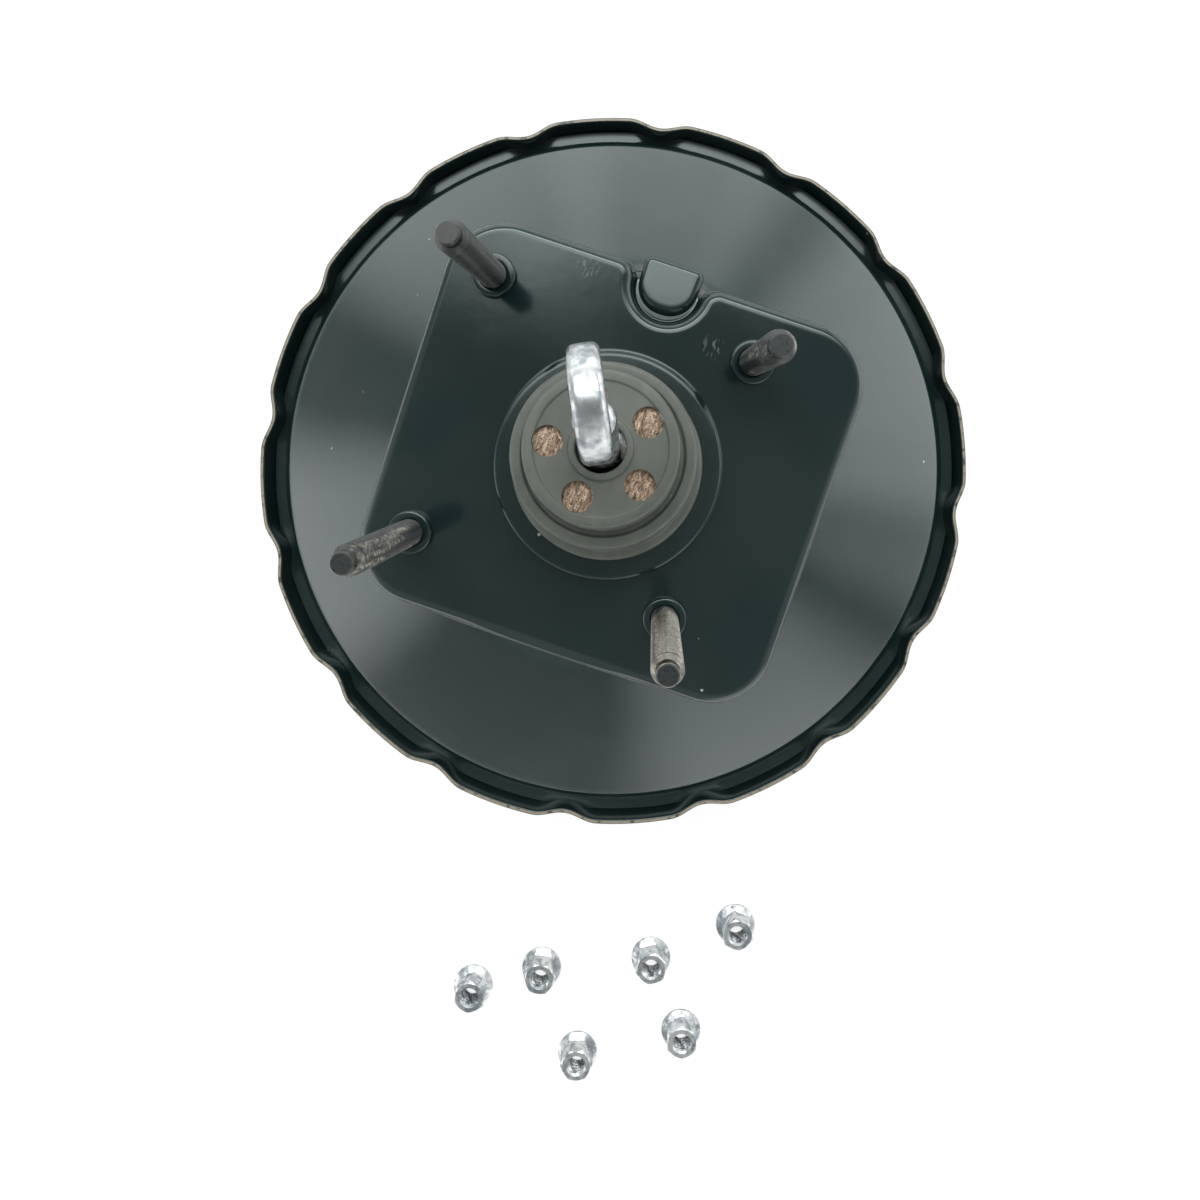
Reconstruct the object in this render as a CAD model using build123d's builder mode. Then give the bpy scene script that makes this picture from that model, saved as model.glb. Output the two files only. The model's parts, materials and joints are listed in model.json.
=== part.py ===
"""Brake booster (vacuum servo) as an assembly of separate pieces.

Millimetres, +Z along the booster axis towards the pedal. The origin lies on that axis, in the face of the pad
that the master cylinder is bolted to.
"""

import os
from math import cos, radians, sin, tan

from build123d import *

os.makedirs("parts", exist_ok=True)

# Sheet, rim and crimp
SHEET = 1.6
LIP_OVERHANG = 8.5
LIP_TOP_Z = 61.4
LIP_CLEAR = 0.3
LIP_STEP = 0.25
CHANNEL_DEPTH = 6.4
NOTCH_COUNT = 16
NOTCH_DEPTH = 2.6
NOTCH_HALF_DEG = 4.0
NOTCH_PHASE_DEG = 10.8
NOTCH_ROUND = 5.0
BEAD_H = 6.0

# Rear shell
SHOULDER_Z = 61.0
SHOULDER_ROUND = 5.0
CONE_DEG = 30.0
CONE_TOP_Z = 93.5
PLATFORM_Z = 98.0
PLATFORM_TILT_DEG = 4.0
PLATFORM_SIDE = 24.0
PLATFORM_END = 18.3
PLATFORM_CORNER = 18.0
PLATFORM_DEPTH = 23.0
PLATFORM_DRAFT_DEG = 12.0
PLATFORM_ROUND = 2.6
BAY_R = 14.0
BAY_MOUTH_ROUND = 6.0
BOSS_R = 9.8
BOSS_FLAT = 6.0
BOSS_TOP_Z = 99.0
BOSS_ROUND = 2.4
HUB_R = 32.2
HUB_TOP_Z = 103.0
HUB_ROUND = 0.9
HUB_FOOT_DEPTH = 12.0
NECK_R = 21.5
NECK_LOW_Z = 84.0
NECK_ROUND = 1.4

# Bulkhead studs and their plate
STUD_PITCH = 78.0
STUD_OFF_U = -9.3
STUD_OFF_V = 2.1
STUD_R = 4.0
STUD_LENGTH = 42.0
STUD_DOG_R = 2.9
STUD_DOG_LENGTH = 2.6
STUD_SHANK_STEP = 0.5
STUD_CHAMFER = 0.9
STUD_HEAD_R = 7.5
STUD_HEAD_T = 2.6
COLLAR_R = 6.4
COLLAR_H = 2.0
COLLAR_CHAMFER = 0.5
HOLE_CLEAR = 0.05
PLATE_T = 2.5
PLATE_EDGE = 9.0
PLATE_CORNER = 10.0
PLATE_GAP = 1.0

# Neck bearing, seal and retainer
RUN_CLEAR = 0.05
SOFT_CLEAR = 0.3
BEARING_H = 8.0
SEAL_H = 7.0
RETAINER_H = 1.6
RETAINER_CLEAR = 0.8

# Front shell
CUP_R = 114.0
CUP_DRAFT = 3.0
CUP_ROUND = 12.0
FACE_Z = 5.0
PAD_Z = 0.0
PAD_EDGE = 12.0
PAD_SLOPE = 7.0
SPIGOT_R = 16.0
SPIGOT_DEPTH = 12.0
STIFFENER_T = 3.0
STIFFENER_EDGE = 3.5
FRONT_STUD_COUNT = 2
FRONT_STUD_R = 4.0
FRONT_STUD_PCD = 84.0
FRONT_STUD_LENGTH = 22.0
FRONT_STUD_HEAD_R = 8.0
FRONT_STUD_HEAD_T = 3.0
FRONT_SEAL_H = 5.0
FRONT_SEAL_UP = 0.6
FRONT_WASHER_H = 2.0
FRONT_WASHER_CLEAR = 1.5

# Power piston
STROKE = 26.0
TAIL_R = 17.5
TAIL_TOP_Z = 122.0
TAIL_LOW_Z = 80.0
CHAMBER_R = 13.0
SEAT_Z = 94.0
SEAT_RIDGE = 1.0
PASSAGE_R = 9.0
PASSAGE_LOW_Z = 89.0
HUB_STEP_R = 26.0
HUB_STEP_H = 6.0
HUB_FLANGE_R = 34.0
HUB_FLANGE_H = 8.0
NOSE_R = 18.0
NOSE_H = 6.0
REACTION_R = 11.0
REACTION_H = 5.0
REACTION_TOP_Z = 70.0
HEAD_H = 3.5
CLIP_H = 1.5
SEAT_FIT = 0.05

# Diaphragm and its plate
PLATE_SHEET = 1.2
PLATE_FLAT_R = 42.0
ROLL_GAP = 17.0
PLATE_DROP = 15.0
PLATE_CURL_H = 6.0
RUBBER = 1.6
INNER_BEAD_W = 3.0
INNER_BEAD_H = 3.2
ROLL_DROP = 1.4

# Plunger, poppet and input rod
PLUNGER_R = 6.0
PLUNGER_TRAVEL = 1.8
REACTION_CLEAR = 0.2
AIR_SEAT_R = 8.2
AIR_SEAT_H = 2.7
AIR_GAP = 0.3
KEY_NECK_R = 4.0
KEY_T = 3.0
KEY_W = 12.0
KEY_HALF_LENGTH = 23.0
KEY_GAP = 0.5
KEY_SLACK = 0.1
CUP_SOCKET_R = 8.5
CUP_LOW_Z = 107.0
BALL_R = 5.5
PIVOT_Z = 116.0
CUP_RIM_UP = 2.5
CUP_FLANGE_R = 12.0
CUP_FLANGE_H = 1.3
ROD_TILT_DEG = 12.2
ROD_TILT_DIRECTION_DEG = 108.0
ROD_NECK_R = 3.5
ROD_NECK_LENGTH = 8.5
ROD_R = 4.5
EYE_DISTANCE = 53.0
EYE_R = 11.0
EYE_T = 6.0
EYE_PLANE_DEG = 116.8
EYE_ROUND = 1.1
ROD_SHOULDER = 3.0
ROD_SHOULDER_ROUND = 1.2
EYE_BUSH_R = 6.5
EYE_BORE_R = 5.0
POPPET_R = 12.6
POPPET_BORE_R = 7.2
POPPET_H = 3.5
POPPET_SLEEVE = 1.2
POPPET_RETAINER_LOW_Z = 104.0
POPPET_RETAINER_H = 2.5
POPPET_RETAINER_BORE_R = 9.2

# Filter and boot
HOLDER_R = 13.5
HOLDER_WALL = 1.0
HOLDER_FOOT_R = 16.5
HOLDER_FOOT_T = 0.8
DISH_R = 16.8
DISH_WALL = 0.7
DISH_CLEAR = 0.6
DISH_FLOOR_T = 0.8
DISH_SHIFT = 3.6
DISH_BORE_R = 10.5
FELT_H = 2.8
FELT_BORE_R = 7.0
FOAM_BORE_R = 9.2
FOAM_CLEAR = 0.2
BOOT_FOOT_R = 26.5
BOOT_FOOT_H = 3.4
BOOT_STEP_R = 23.4
BOOT_STEP_Z = 124.6
BOOT_CAP_R = 18.5
BOOT_TOP_Z = 135.0
BOOT_WALL = 1.2
BOOT_CAP_T = 1.5
BOOT_EDGE = 1.2
BOOT_HOLE_COUNT = 5
BOOT_HOLE_R = 3.7
BOOT_HOLE_CIRCLE_R = 12.5
BOOT_HOLE_PHASE_DEG = 47.0
BOOT_ROD_HOLE_R = 5.9
BOOT_COLLAR_WALL = 1.6
BOOT_COLLAR_H = 1.0

# Output rod
OUTPUT_R = 5.0
OUTPUT_LOW_Z = 6.0
SCREW_R = 3.5
SCREW_DEPTH = 12.0
SCREW_HEAD_R = 4.5
SCREW_HEAD_H = 8.0
SCREW_ROUND = 2.0

# Springs: wire radius, mean coil radius and turns
MAIN_WIRE_R = 2.0
MAIN_COIL_R = 29.0
MAIN_TURNS = 6
RETURN_WIRE_R = 0.6
RETURN_COIL_R = 10.8
RETURN_TURNS = 5
POPPET_WIRE_R = 0.5
POPPET_COIL_R = 9.9
POPPET_TURNS = 3
VALVE_WIRE_R = 0.35
VALVE_COIL_R = 4.0
VALVE_TURNS = 3
SPRING_GAP = 0.05

# Vacuum check valve
VALVE_DEG = 60.0
GROMMET_R = 9.4
GROMMET_FLANGE_R = 12.0
GROMMET_OUT_H = 3.0
GROMMET_IN_H = 2.4
STEM_R = 7.0
STEM_UP = 2.0
STEM_BORE_R = 3.0
BODY_FLANGE_R = 11.0
BODY_FLANGE_H = 2.5
BODY_R = 10.0
BODY_CHAMBER_R = 8.0
BODY_FLOOR_T = 1.0
RIDGE_W = 1.2
RIDGE_H = 0.5
DISC_R = 6.5
DISC_T = 1.5
DISC_GAP = 0.05
DISC_TRAVEL = 1.5
CAP_PLUG_H = 2.0
CAP_H = 11.0
CAP_BORE_R = 2.5
NIPPLE_R = 5.0
NIPPLE_SILL = 0.5
NIPPLE_BORE_R = 3.0
NIPPLE_REACH = 32.0
NIPPLE_ROOT_R = 5.4
NIPPLE_ROOT_REACH = 12.0
NIPPLE_ROOT_CONE = 1.5
NIPPLE_ROOT_DEG = 20.0
NIPPLE_CHAMFER = 0.8

# Flange nuts, lying beside the booster on the level that its front studs stand on
NUT_SIDES = 6
NUT_FLAT = 13.0
NUT_H = 8.0
NUT_FLANGE_R = 8.95
NUT_FLANGE_T = 1.3
NUT_SLOPE_H = 1.2
NUT_BORE_R = 3.5
NUT_CHAMFER = 1.0
NUT_PLACES = (
    (13.1, -251.0, 12.0),
    (40.6, -233.2, 40.0),
    (87.3, -212.6, 5.0),
    (119.8, -185.8, 27.0),
    (68.7, -263.9, 50.0),
    (110.9, -239.2, 18.0),
)

# Heights and radii that follow from the values above
lip_r = CUP_R + LIP_OVERHANG
shoulder_r = CUP_R
cup_low_r = CUP_R - CUP_DRAFT
pad_r = FRONT_STUD_PCD / 2 + PAD_EDGE
pad_foot_r = pad_r + PAD_SLOPE
spigot_out_r = SPIGOT_R + SHEET
plate_outer_r = CUP_R - ROLL_GAP
roll_r = CUP_R - ROLL_GAP / 2
platform_u = STUD_PITCH + 2 * PLATFORM_SIDE
platform_v = STUD_PITCH + 2 * PLATFORM_END
valve_distance = (pad_foot_r + cup_low_r - CUP_ROUND) / 2
lip_wall_r = lip_r - LIP_STEP
flange_r = lip_wall_r - SHEET - LIP_CLEAR
flange_top_z = LIP_TOP_Z - CHANNEL_DEPTH
flange_low_z = flange_top_z - SHEET
bead_low_z = flange_low_z - BEAD_H
step_low_z = bead_low_z - SHEET
tilt = radians(PLATFORM_TILT_DEG)
mount_plane = Plane(origin=(0, 0, PLATFORM_Z), x_dir=(1, 0, 0), z_dir=(0, -sin(tilt), cos(tilt)))
stud_points = [
    (STUD_OFF_U + su * STUD_PITCH / 2, STUD_OFF_V + sv * STUD_PITCH / 2)
    for su in (-1, 1)
    for sv in (-1, 1)
]
shank_r = STUD_R + STUD_SHANK_STEP
front_shank_r = FRONT_STUD_R + STUD_SHANK_STEP
plate_top = -SHEET
plate_low = plate_top - PLATE_T
piston_top_z = TAIL_LOW_Z
piston_mid_z = piston_top_z - HUB_STEP_H
piston_low_z = piston_mid_z - HUB_FLANGE_H
nose_low_z = piston_low_z - NOSE_H
reaction_low_z = REACTION_TOP_Z - REACTION_H
head_low_z = reaction_low_z - HEAD_H
clip_low_z = head_low_z - CLIP_H
plunger_low_z = REACTION_TOP_Z + PLUNGER_TRAVEL + REACTION_CLEAR
poppet_low_z = SEAT_Z + SEAT_RIDGE
poppet_top_z = poppet_low_z + POPPET_H
air_seat_top_z = poppet_low_z - AIR_GAP
key_top_z = NECK_LOW_Z - KEY_GAP
key_low_z = key_top_z - KEY_T
cup_rim_z = PIVOT_Z + CUP_RIM_UP
dish_floor_z = HUB_TOP_Z + STROKE + DISH_CLEAR
pad_in_z = PAD_Z + SHEET
stiffener_top_z = pad_in_z + STIFFENER_T
floor_z = PAD_Z - FRONT_STUD_LENGTH
socket_r = BALL_R + RUN_CLEAR
guide_r = PLUNGER_R + RUN_CLEAR
lean_slope = tan(radians(ROD_TILT_DEG))
lean_x = cos(radians(ROD_TILT_DIRECTION_DEG))
lean_y = sin(radians(ROD_TILT_DIRECTION_DEG))
valve_x = valve_distance * cos(radians(VALVE_DEG))
valve_y = valve_distance * sin(radians(VALVE_DEG))
valve_axis = Axis((valve_x, valve_y, 0), (0, 0, 1))
valve_plane = Plane(origin=(valve_x, valve_y, 0), x_dir=(1, 0, 0), z_dir=(0, -1, 0))


def lean_shift(z):
    """How far the leaning rod has moved off the axis at height z."""
    return max(0.0, (z - PIVOT_Z) * lean_slope)


def boot_shift(z):
    """How far the boot is drawn aside at height z, from its foot up to the rod's own lean at its top."""
    share = (z - HUB_TOP_Z) / (BOOT_TOP_Z - HUB_TOP_Z)
    return max(0.0, share) * lean_shift(BOOT_TOP_Z)


def ring_of_revolution(points):
    """A solid of revolution about the booster axis from (radius, height) corners."""
    with BuildPart() as ring:
        with BuildSketch(Plane.XZ):
            with BuildLine():
                Polyline(*points, close=True)
            make_face()
        revolve(axis=Axis.Z)
    return ring.part


def plain_ring(outer_r, inner_r, top_z, low_z):
    """A plain round ring on the booster axis."""
    return ring_of_revolution([(inner_r, low_z), (outer_r, low_z), (outer_r, top_z), (inner_r, top_z)])


def valve_ring(points):
    """A solid of revolution about the check valve's axis from (radius, height) corners."""
    with BuildPart() as ring:
        with BuildSketch(valve_plane):
            with BuildLine():
                Polyline(*points, close=True)
            make_face()
        revolve(axis=valve_axis)
    return ring.part


def coil(centre_x, centre_y, low_z, top_z, coil_r, wire_r, turns):
    """A round-wire compression spring between two seats, with a small gap at each."""
    start_z = low_z + wire_r + SPRING_GAP
    rise = top_z - low_z - 2 * (wire_r + SPRING_GAP)
    with BuildPart() as spring:
        with BuildLine() as path:
            Helix(pitch=rise / turns, height=rise, radius=coil_r, center=(centre_x, centre_y, start_z))
        with BuildSketch(Plane(origin=path.line @ 0, z_dir=path.line % 0)):
            Circle(wire_r)
        sweep(path=path.line, is_frenet=True)
    return spring.part


def platform_block(inset):
    """The inclined platform with its bay, drawn in by inset for the inner side of the sheet."""
    with BuildPart() as block:
        with BuildSketch(mount_plane.offset(-inset)) as outline:
            RectangleRounded(platform_u - 2 * inset, platform_v - 2 * inset, PLATFORM_CORNER - inset)
            with Locations((0, platform_v / 2)):
                Circle(BAY_R + inset, mode=Mode.SUBTRACT)
            mouth = outline.vertices().sort_by_distance((0, platform_v / 2, 0))[0:2]
            fillet(mouth, BAY_MOUTH_ROUND - inset)
        extrude(amount=-PLATFORM_DEPTH, taper=-PLATFORM_DRAFT_DEG)
        top = block.faces().sort_by(Axis((0, 0, 0), mount_plane.z_dir))[-1]
        fillet(top.edges(), PLATFORM_ROUND - inset)
    return block.part


def boss_block(inset):
    """The D-shaped boss that stands in the platform's bay."""
    with BuildPart() as block:
        with BuildSketch(Plane.XY.offset(BOSS_TOP_Z - inset)):
            with Locations((0, platform_v / 2)):
                Circle(BOSS_R - inset)
            with Locations((0, platform_v / 2 + BOSS_FLAT - inset)):
                Rectangle(2 * BOSS_R, BOSS_R, align=(Align.CENTER, Align.MIN), mode=Mode.SUBTRACT)
        extrude(amount=-PLATFORM_DEPTH)
        top = block.faces().sort_by(Axis.Z)[-1]
        fillet(top.edges(), BOSS_ROUND - inset)
    return block.part


def cone_block(inset, low_z):
    """The conical body of the rear shell, drawn in by inset."""
    slope = tan(radians(CONE_DEG))
    drop = inset / cos(radians(CONE_DEG))
    wall_r = shoulder_r - inset
    top_z = CONE_TOP_Z - inset
    wall_z = SHOULDER_Z + inset * slope - drop
    top_r = shoulder_r - (top_z + drop - SHOULDER_Z) / slope
    with BuildPart() as block:
        with BuildSketch(Plane.XZ) as profile:
            with BuildLine():
                Polyline(
                    (0, low_z),
                    (wall_r, low_z),
                    (wall_r, wall_z),
                    (top_r, top_z),
                    (0, top_z),
                    close=True,
                )
            make_face()
            fillet(profile.vertices().sort_by_distance((wall_r, wall_z, 0))[0:1], SHOULDER_ROUND - inset)
        revolve(axis=Axis.Z)
    return block.part


def hub_block(inset):
    """The raised round hub that centres the shell in the bulkhead."""
    with BuildPart() as block:
        with BuildSketch(Plane.XY.offset(HUB_TOP_Z - inset)):
            Circle(HUB_R - inset)
        extrude(amount=-HUB_FOOT_DEPTH)
        if inset == 0:
            fillet(block.faces().sort_by(Axis.Z)[-1].edges(), HUB_ROUND)
    return block.part


# Rear shell: outer skin less inner skin, then the flange, the inward neck and the holes
with BuildPart() as rear_shell:
    add(cone_block(0, flange_low_z))
    add(platform_block(0))
    add(boss_block(0))
    add(hub_block(0))
    add(cone_block(SHEET, flange_low_z - SHEET), mode=Mode.SUBTRACT)
    add(platform_block(SHEET), mode=Mode.SUBTRACT)
    add(boss_block(SHEET), mode=Mode.SUBTRACT)
    add(hub_block(SHEET), mode=Mode.SUBTRACT)
    add(plain_ring(flange_r, shoulder_r - SHEET, flange_top_z, flange_low_z))
    add(plain_ring(NECK_R + SHEET, NECK_R, HUB_TOP_Z - SHEET, NECK_LOW_Z))
    with BuildSketch(Plane.XY.offset(HUB_TOP_Z)):
        Circle(NECK_R)
    extrude(amount=NECK_LOW_Z - HUB_TOP_Z, mode=Mode.SUBTRACT)
    circles = rear_shell.edges().filter_by(GeomType.CIRCLE)
    neck_rims = circles.filter_by(lambda edge: abs(edge.radius - NECK_R) < HOLE_CLEAR)
    fillet(neck_rims.sort_by(Axis.Z)[-1:], NECK_ROUND)
    with BuildSketch(mount_plane):
        with Locations(*stud_points):
            Circle(shank_r + HOLE_CLEAR)
    extrude(amount=-2 * SHEET, mode=Mode.SUBTRACT)
rear_shell.part.label = "rear_shell"
export_step(rear_shell.part, "parts/rear_shell.step")


def notched_outline(radius):
    """The lip's plan outline with its crimp notches, as a closed line of arcs."""
    half = radians(NOTCH_HALF_DEG)
    step = radians(360 / NOTCH_COUNT)
    low_r = radius - NOTCH_DEPTH
    for k in range(NOTCH_COUNT):
        mid = radians(NOTCH_PHASE_DEG) + k * step
        start = (radius * cos(mid - half), radius * sin(mid - half))
        deep = (low_r * cos(mid), low_r * sin(mid))
        end = (radius * cos(mid + half), radius * sin(mid + half))
        crown_mid = mid + step / 2
        crown = (radius * cos(crown_mid), radius * sin(crown_mid))
        next_start = (radius * cos(mid + step - half), radius * sin(mid + step - half))
        ThreePointArc(start, deep, end)
        ThreePointArc(end, crown, next_start)


# Front shell: cup, step for the diaphragm bead, and the upstanding lip that is crimped over the rear flange
with BuildPart() as crimped_lip:
    with BuildSketch(Plane.XY.offset(flange_top_z)) as lip_outer:
        with BuildLine():
            notched_outline(lip_r)
        make_face()
        fillet(lip_outer.vertices(), NOTCH_ROUND)
    extrude(amount=CHANNEL_DEPTH)
    with BuildSketch(Plane.XY.offset(flange_top_z)) as lip_inner:
        with BuildLine():
            notched_outline(lip_r - SHEET)
        make_face()
        fillet(lip_inner.vertices(), NOTCH_ROUND)
    extrude(amount=CHANNEL_DEPTH, mode=Mode.SUBTRACT)
with BuildPart() as front_shell:
    with BuildSketch(Plane.XZ) as cup_profile:
        with BuildLine():
            Polyline(
                (lip_wall_r, flange_top_z),
                (lip_wall_r, step_low_z),
                (CUP_R, step_low_z),
                (cup_low_r, FACE_Z),
                (pad_foot_r, FACE_Z),
                (pad_foot_r - SHEET / 2, FACE_Z + SHEET),
                (cup_low_r - SHEET, FACE_Z + SHEET),
                (CUP_R - SHEET, bead_low_z),
                (lip_wall_r - SHEET, bead_low_z),
                (lip_wall_r - SHEET, flange_top_z),
                close=True,
            )
        make_face()
        fillet(cup_profile.vertices().sort_by_distance((cup_low_r, FACE_Z, 0))[0:1], CUP_ROUND)
        fillet(
            cup_profile.vertices().sort_by_distance((cup_low_r - SHEET, FACE_Z + SHEET, 0))[0:1],
            CUP_ROUND - SHEET,
        )
        fillet(cup_profile.vertices().sort_by_distance((lip_wall_r, step_low_z, 0))[0:1], SHEET)
    revolve(axis=Axis.Z)
    add(crimped_lip.part)
    with BuildSketch(Plane.XY.offset(FACE_Z - SHEET)):
        with Locations((valve_x, valve_y)):
            Circle(GROMMET_R)
    extrude(amount=3 * SHEET, mode=Mode.SUBTRACT)
front_shell.part.label = "front_shell"
export_step(front_shell.part, "parts/front_shell.step")

# Front pad and spigot: the same pressing, kept as nodes of their own so that the mouth stays open
with BuildPart() as front_pad:
    add(
        ring_of_revolution(
            [
                (pad_foot_r, FACE_Z),
                (pad_r, PAD_Z),
                (spigot_out_r, PAD_Z),
                (spigot_out_r, pad_in_z),
                (pad_r - SHEET / 2, pad_in_z),
                (pad_foot_r - SHEET / 2, FACE_Z + SHEET),
            ]
        )
    )
    with BuildSketch(Plane.XY.offset(PAD_Z - SHEET)):
        with PolarLocations(FRONT_STUD_PCD / 2, FRONT_STUD_COUNT):
            Circle(front_shank_r + HOLE_CLEAR)
    extrude(amount=3 * SHEET, mode=Mode.SUBTRACT)
front_pad.part.label = "front_pad"
export_step(front_pad.part, "parts/front_pad.step")

with BuildPart() as front_spigot:
    add(plain_ring(spigot_out_r, SPIGOT_R, PAD_Z + SPIGOT_DEPTH, PAD_Z))
front_spigot.part.label = "front_spigot"
export_step(front_spigot.part, "parts/front_spigot.step")

# Bulkhead studs: head under the plate, pressed-in shank, plain thread, chamfer and dog point
with BuildPart() as firewall_studs:
    with BuildSketch(mount_plane.offset(plate_low)):
        with Locations(*stud_points):
            Circle(STUD_HEAD_R)
    extrude(amount=-STUD_HEAD_T)
    with BuildSketch(mount_plane.offset(plate_low)):
        with Locations(*stud_points):
            Circle(shank_r)
    extrude(amount=COLLAR_H - plate_low)
    with BuildSketch(mount_plane.offset(COLLAR_H)):
        with Locations(*stud_points):
            Circle(STUD_R)
    extrude(amount=STUD_LENGTH - STUD_DOG_LENGTH - COLLAR_H)
    tips = firewall_studs.faces().group_by(Axis((0, 0, 0), mount_plane.z_dir))[-1]
    chamfer(tips.edges(), STUD_CHAMFER)
    with BuildSketch(mount_plane.offset(STUD_LENGTH - STUD_DOG_LENGTH)):
        with Locations(*stud_points):
            Circle(STUD_DOG_R)
    extrude(amount=STUD_DOG_LENGTH)
    dogs = firewall_studs.faces().group_by(Axis((0, 0, 0), mount_plane.z_dir))[-1]
    chamfer(dogs.edges(), STUD_CHAMFER / 2)
firewall_studs.part.label = "firewall_studs"
export_step(firewall_studs.part, "parts/firewall_studs.step")

# Swaged collars that clinch the studs to the platform
with BuildPart() as stud_collars:
    with BuildSketch(mount_plane):
        with Locations(*stud_points):
            Circle(COLLAR_R)
            Circle(shank_r + HOLE_CLEAR, mode=Mode.SUBTRACT)
    extrude(amount=COLLAR_H)
    collar_tops = stud_collars.faces().group_by(Axis((0, 0, 0), mount_plane.z_dir))[-1]
    outer_rims = collar_tops.edges().filter_by(lambda edge: edge.radius > (COLLAR_R + shank_r) / 2)
    chamfer(outer_rims, COLLAR_CHAMFER)
stud_collars.part.label = "stud_collars"
export_step(stud_collars.part, "parts/stud_collars.step")

# Stud plate under the platform
with BuildPart() as stud_plate:
    with BuildSketch(mount_plane.offset(plate_top)):
        with Locations((STUD_OFF_U, STUD_OFF_V)):
            RectangleRounded(STUD_PITCH + 2 * PLATE_EDGE, STUD_PITCH + 2 * PLATE_EDGE, PLATE_CORNER)
        Circle(HUB_R, mode=Mode.SUBTRACT)
        with Locations((0, platform_v / 2)):
            Circle(BAY_R + SHEET + PLATFORM_ROUND + PLATE_GAP, mode=Mode.SUBTRACT)
        with Locations(*stud_points):
            Circle(shank_r + HOLE_CLEAR, mode=Mode.SUBTRACT)
    extrude(amount=-PLATE_T)
stud_plate.part.label = "stud_plate"
export_step(stud_plate.part, "parts/stud_plate.step")

# Neck stack: bearing at the bottom, lip seal over it, retaining ring on top
bearing_top_z = NECK_LOW_Z + BEARING_H
seal_top_z = bearing_top_z + SEAL_H
with BuildPart() as neck_bearing:
    add(plain_ring(NECK_R, TAIL_R + RUN_CLEAR, bearing_top_z, NECK_LOW_Z))
neck_bearing.part.label = "neck_bearing"
export_step(neck_bearing.part, "parts/neck_bearing.step")

with BuildPart() as neck_seal:
    add(plain_ring(NECK_R, TAIL_R + SOFT_CLEAR, seal_top_z, bearing_top_z))
neck_seal.part.label = "neck_seal"
export_step(neck_seal.part, "parts/neck_seal.step")

with BuildPart() as seal_retainer:
    add(plain_ring(NECK_R, TAIL_R + RETAINER_CLEAR, seal_top_z + RETAINER_H, seal_top_z))
seal_retainer.part.label = "seal_retainer"
export_step(seal_retainer.part, "parts/seal_retainer.step")

# Front stiffener with the two master-cylinder studs
with BuildPart() as front_stiffener:
    with BuildSketch(Plane.XY.offset(pad_in_z)):
        Circle(pad_r - STIFFENER_EDGE)
        Circle(spigot_out_r + HOLE_CLEAR, mode=Mode.SUBTRACT)
        with PolarLocations(FRONT_STUD_PCD / 2, FRONT_STUD_COUNT):
            Circle(front_shank_r + HOLE_CLEAR, mode=Mode.SUBTRACT)
    extrude(amount=STIFFENER_T)
front_stiffener.part.label = "front_stiffener"
export_step(front_stiffener.part, "parts/front_stiffener.step")

with BuildPart() as master_cylinder_studs:
    with BuildSketch(Plane.XY.offset(stiffener_top_z)):
        with PolarLocations(FRONT_STUD_PCD / 2, FRONT_STUD_COUNT):
            Circle(FRONT_STUD_HEAD_R)
    extrude(amount=FRONT_STUD_HEAD_T)
    with BuildSketch(Plane.XY.offset(stiffener_top_z)):
        with PolarLocations(FRONT_STUD_PCD / 2, FRONT_STUD_COUNT):
            Circle(front_shank_r)
    extrude(amount=PAD_Z - stiffener_top_z)
    with BuildSketch(Plane.XY.offset(PAD_Z)):
        with PolarLocations(FRONT_STUD_PCD / 2, FRONT_STUD_COUNT):
            Circle(FRONT_STUD_R)
    extrude(amount=floor_z - PAD_Z)
    chamfer(master_cylinder_studs.faces().group_by(Axis.Z)[0].edges(), STUD_CHAMFER)
master_cylinder_studs.part.label = "master_cylinder_studs"
export_step(master_cylinder_studs.part, "parts/master_cylinder_studs.step")

# Front seal round the output rod, held by a washer in the spigot
seal_up_z = PAD_Z + SPIGOT_DEPTH - FRONT_SEAL_UP
seal_down_z = seal_up_z - FRONT_SEAL_H
with BuildPart() as front_seal:
    add(plain_ring(SPIGOT_R, OUTPUT_R + SOFT_CLEAR, seal_up_z, seal_down_z))
front_seal.part.label = "front_seal"
export_step(front_seal.part, "parts/front_seal.step")

with BuildPart() as front_seal_washer:
    add(plain_ring(SPIGOT_R, OUTPUT_R + FRONT_WASHER_CLEAR, seal_down_z, seal_down_z - FRONT_WASHER_H))
front_seal_washer.part.label = "front_seal_washer"
export_step(front_seal_washer.part, "parts/front_seal_washer.step")

# Power piston body: tail tube, hub, nose and the bores of the valve
with BuildPart() as valve_body:
    add(
        ring_of_revolution(
            [
                (guide_r, PASSAGE_LOW_Z),
                (PASSAGE_R, PASSAGE_LOW_Z),
                (PASSAGE_R, SEAT_Z + SEAT_RIDGE),
                (PASSAGE_R + SEAT_RIDGE, SEAT_Z + SEAT_RIDGE),
                (PASSAGE_R + SEAT_RIDGE, SEAT_Z),
                (CHAMBER_R, SEAT_Z),
                (CHAMBER_R, TAIL_TOP_Z),
                (TAIL_R, TAIL_TOP_Z),
                (TAIL_R, piston_top_z),
                (HUB_STEP_R, piston_top_z),
                (HUB_STEP_R, piston_mid_z),
                (HUB_FLANGE_R, piston_mid_z),
                (HUB_FLANGE_R, piston_low_z),
                (NOSE_R, piston_low_z),
                (NOSE_R, nose_low_z),
                (REACTION_R + SEAT_FIT, nose_low_z),
                (REACTION_R + SEAT_FIT, REACTION_TOP_Z),
                (guide_r, REACTION_TOP_Z),
            ]
        )
    )
    with BuildSketch(Plane.XY.offset(key_low_z - KEY_SLACK)):
        Rectangle(2 * TAIL_R + 2 * SHEET, KEY_W + 2 * KEY_SLACK)
    extrude(amount=KEY_T + 2 * KEY_SLACK, mode=Mode.SUBTRACT)
valve_body.part.label = "valve_body"
export_step(valve_body.part, "parts/valve_body.step")

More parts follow.
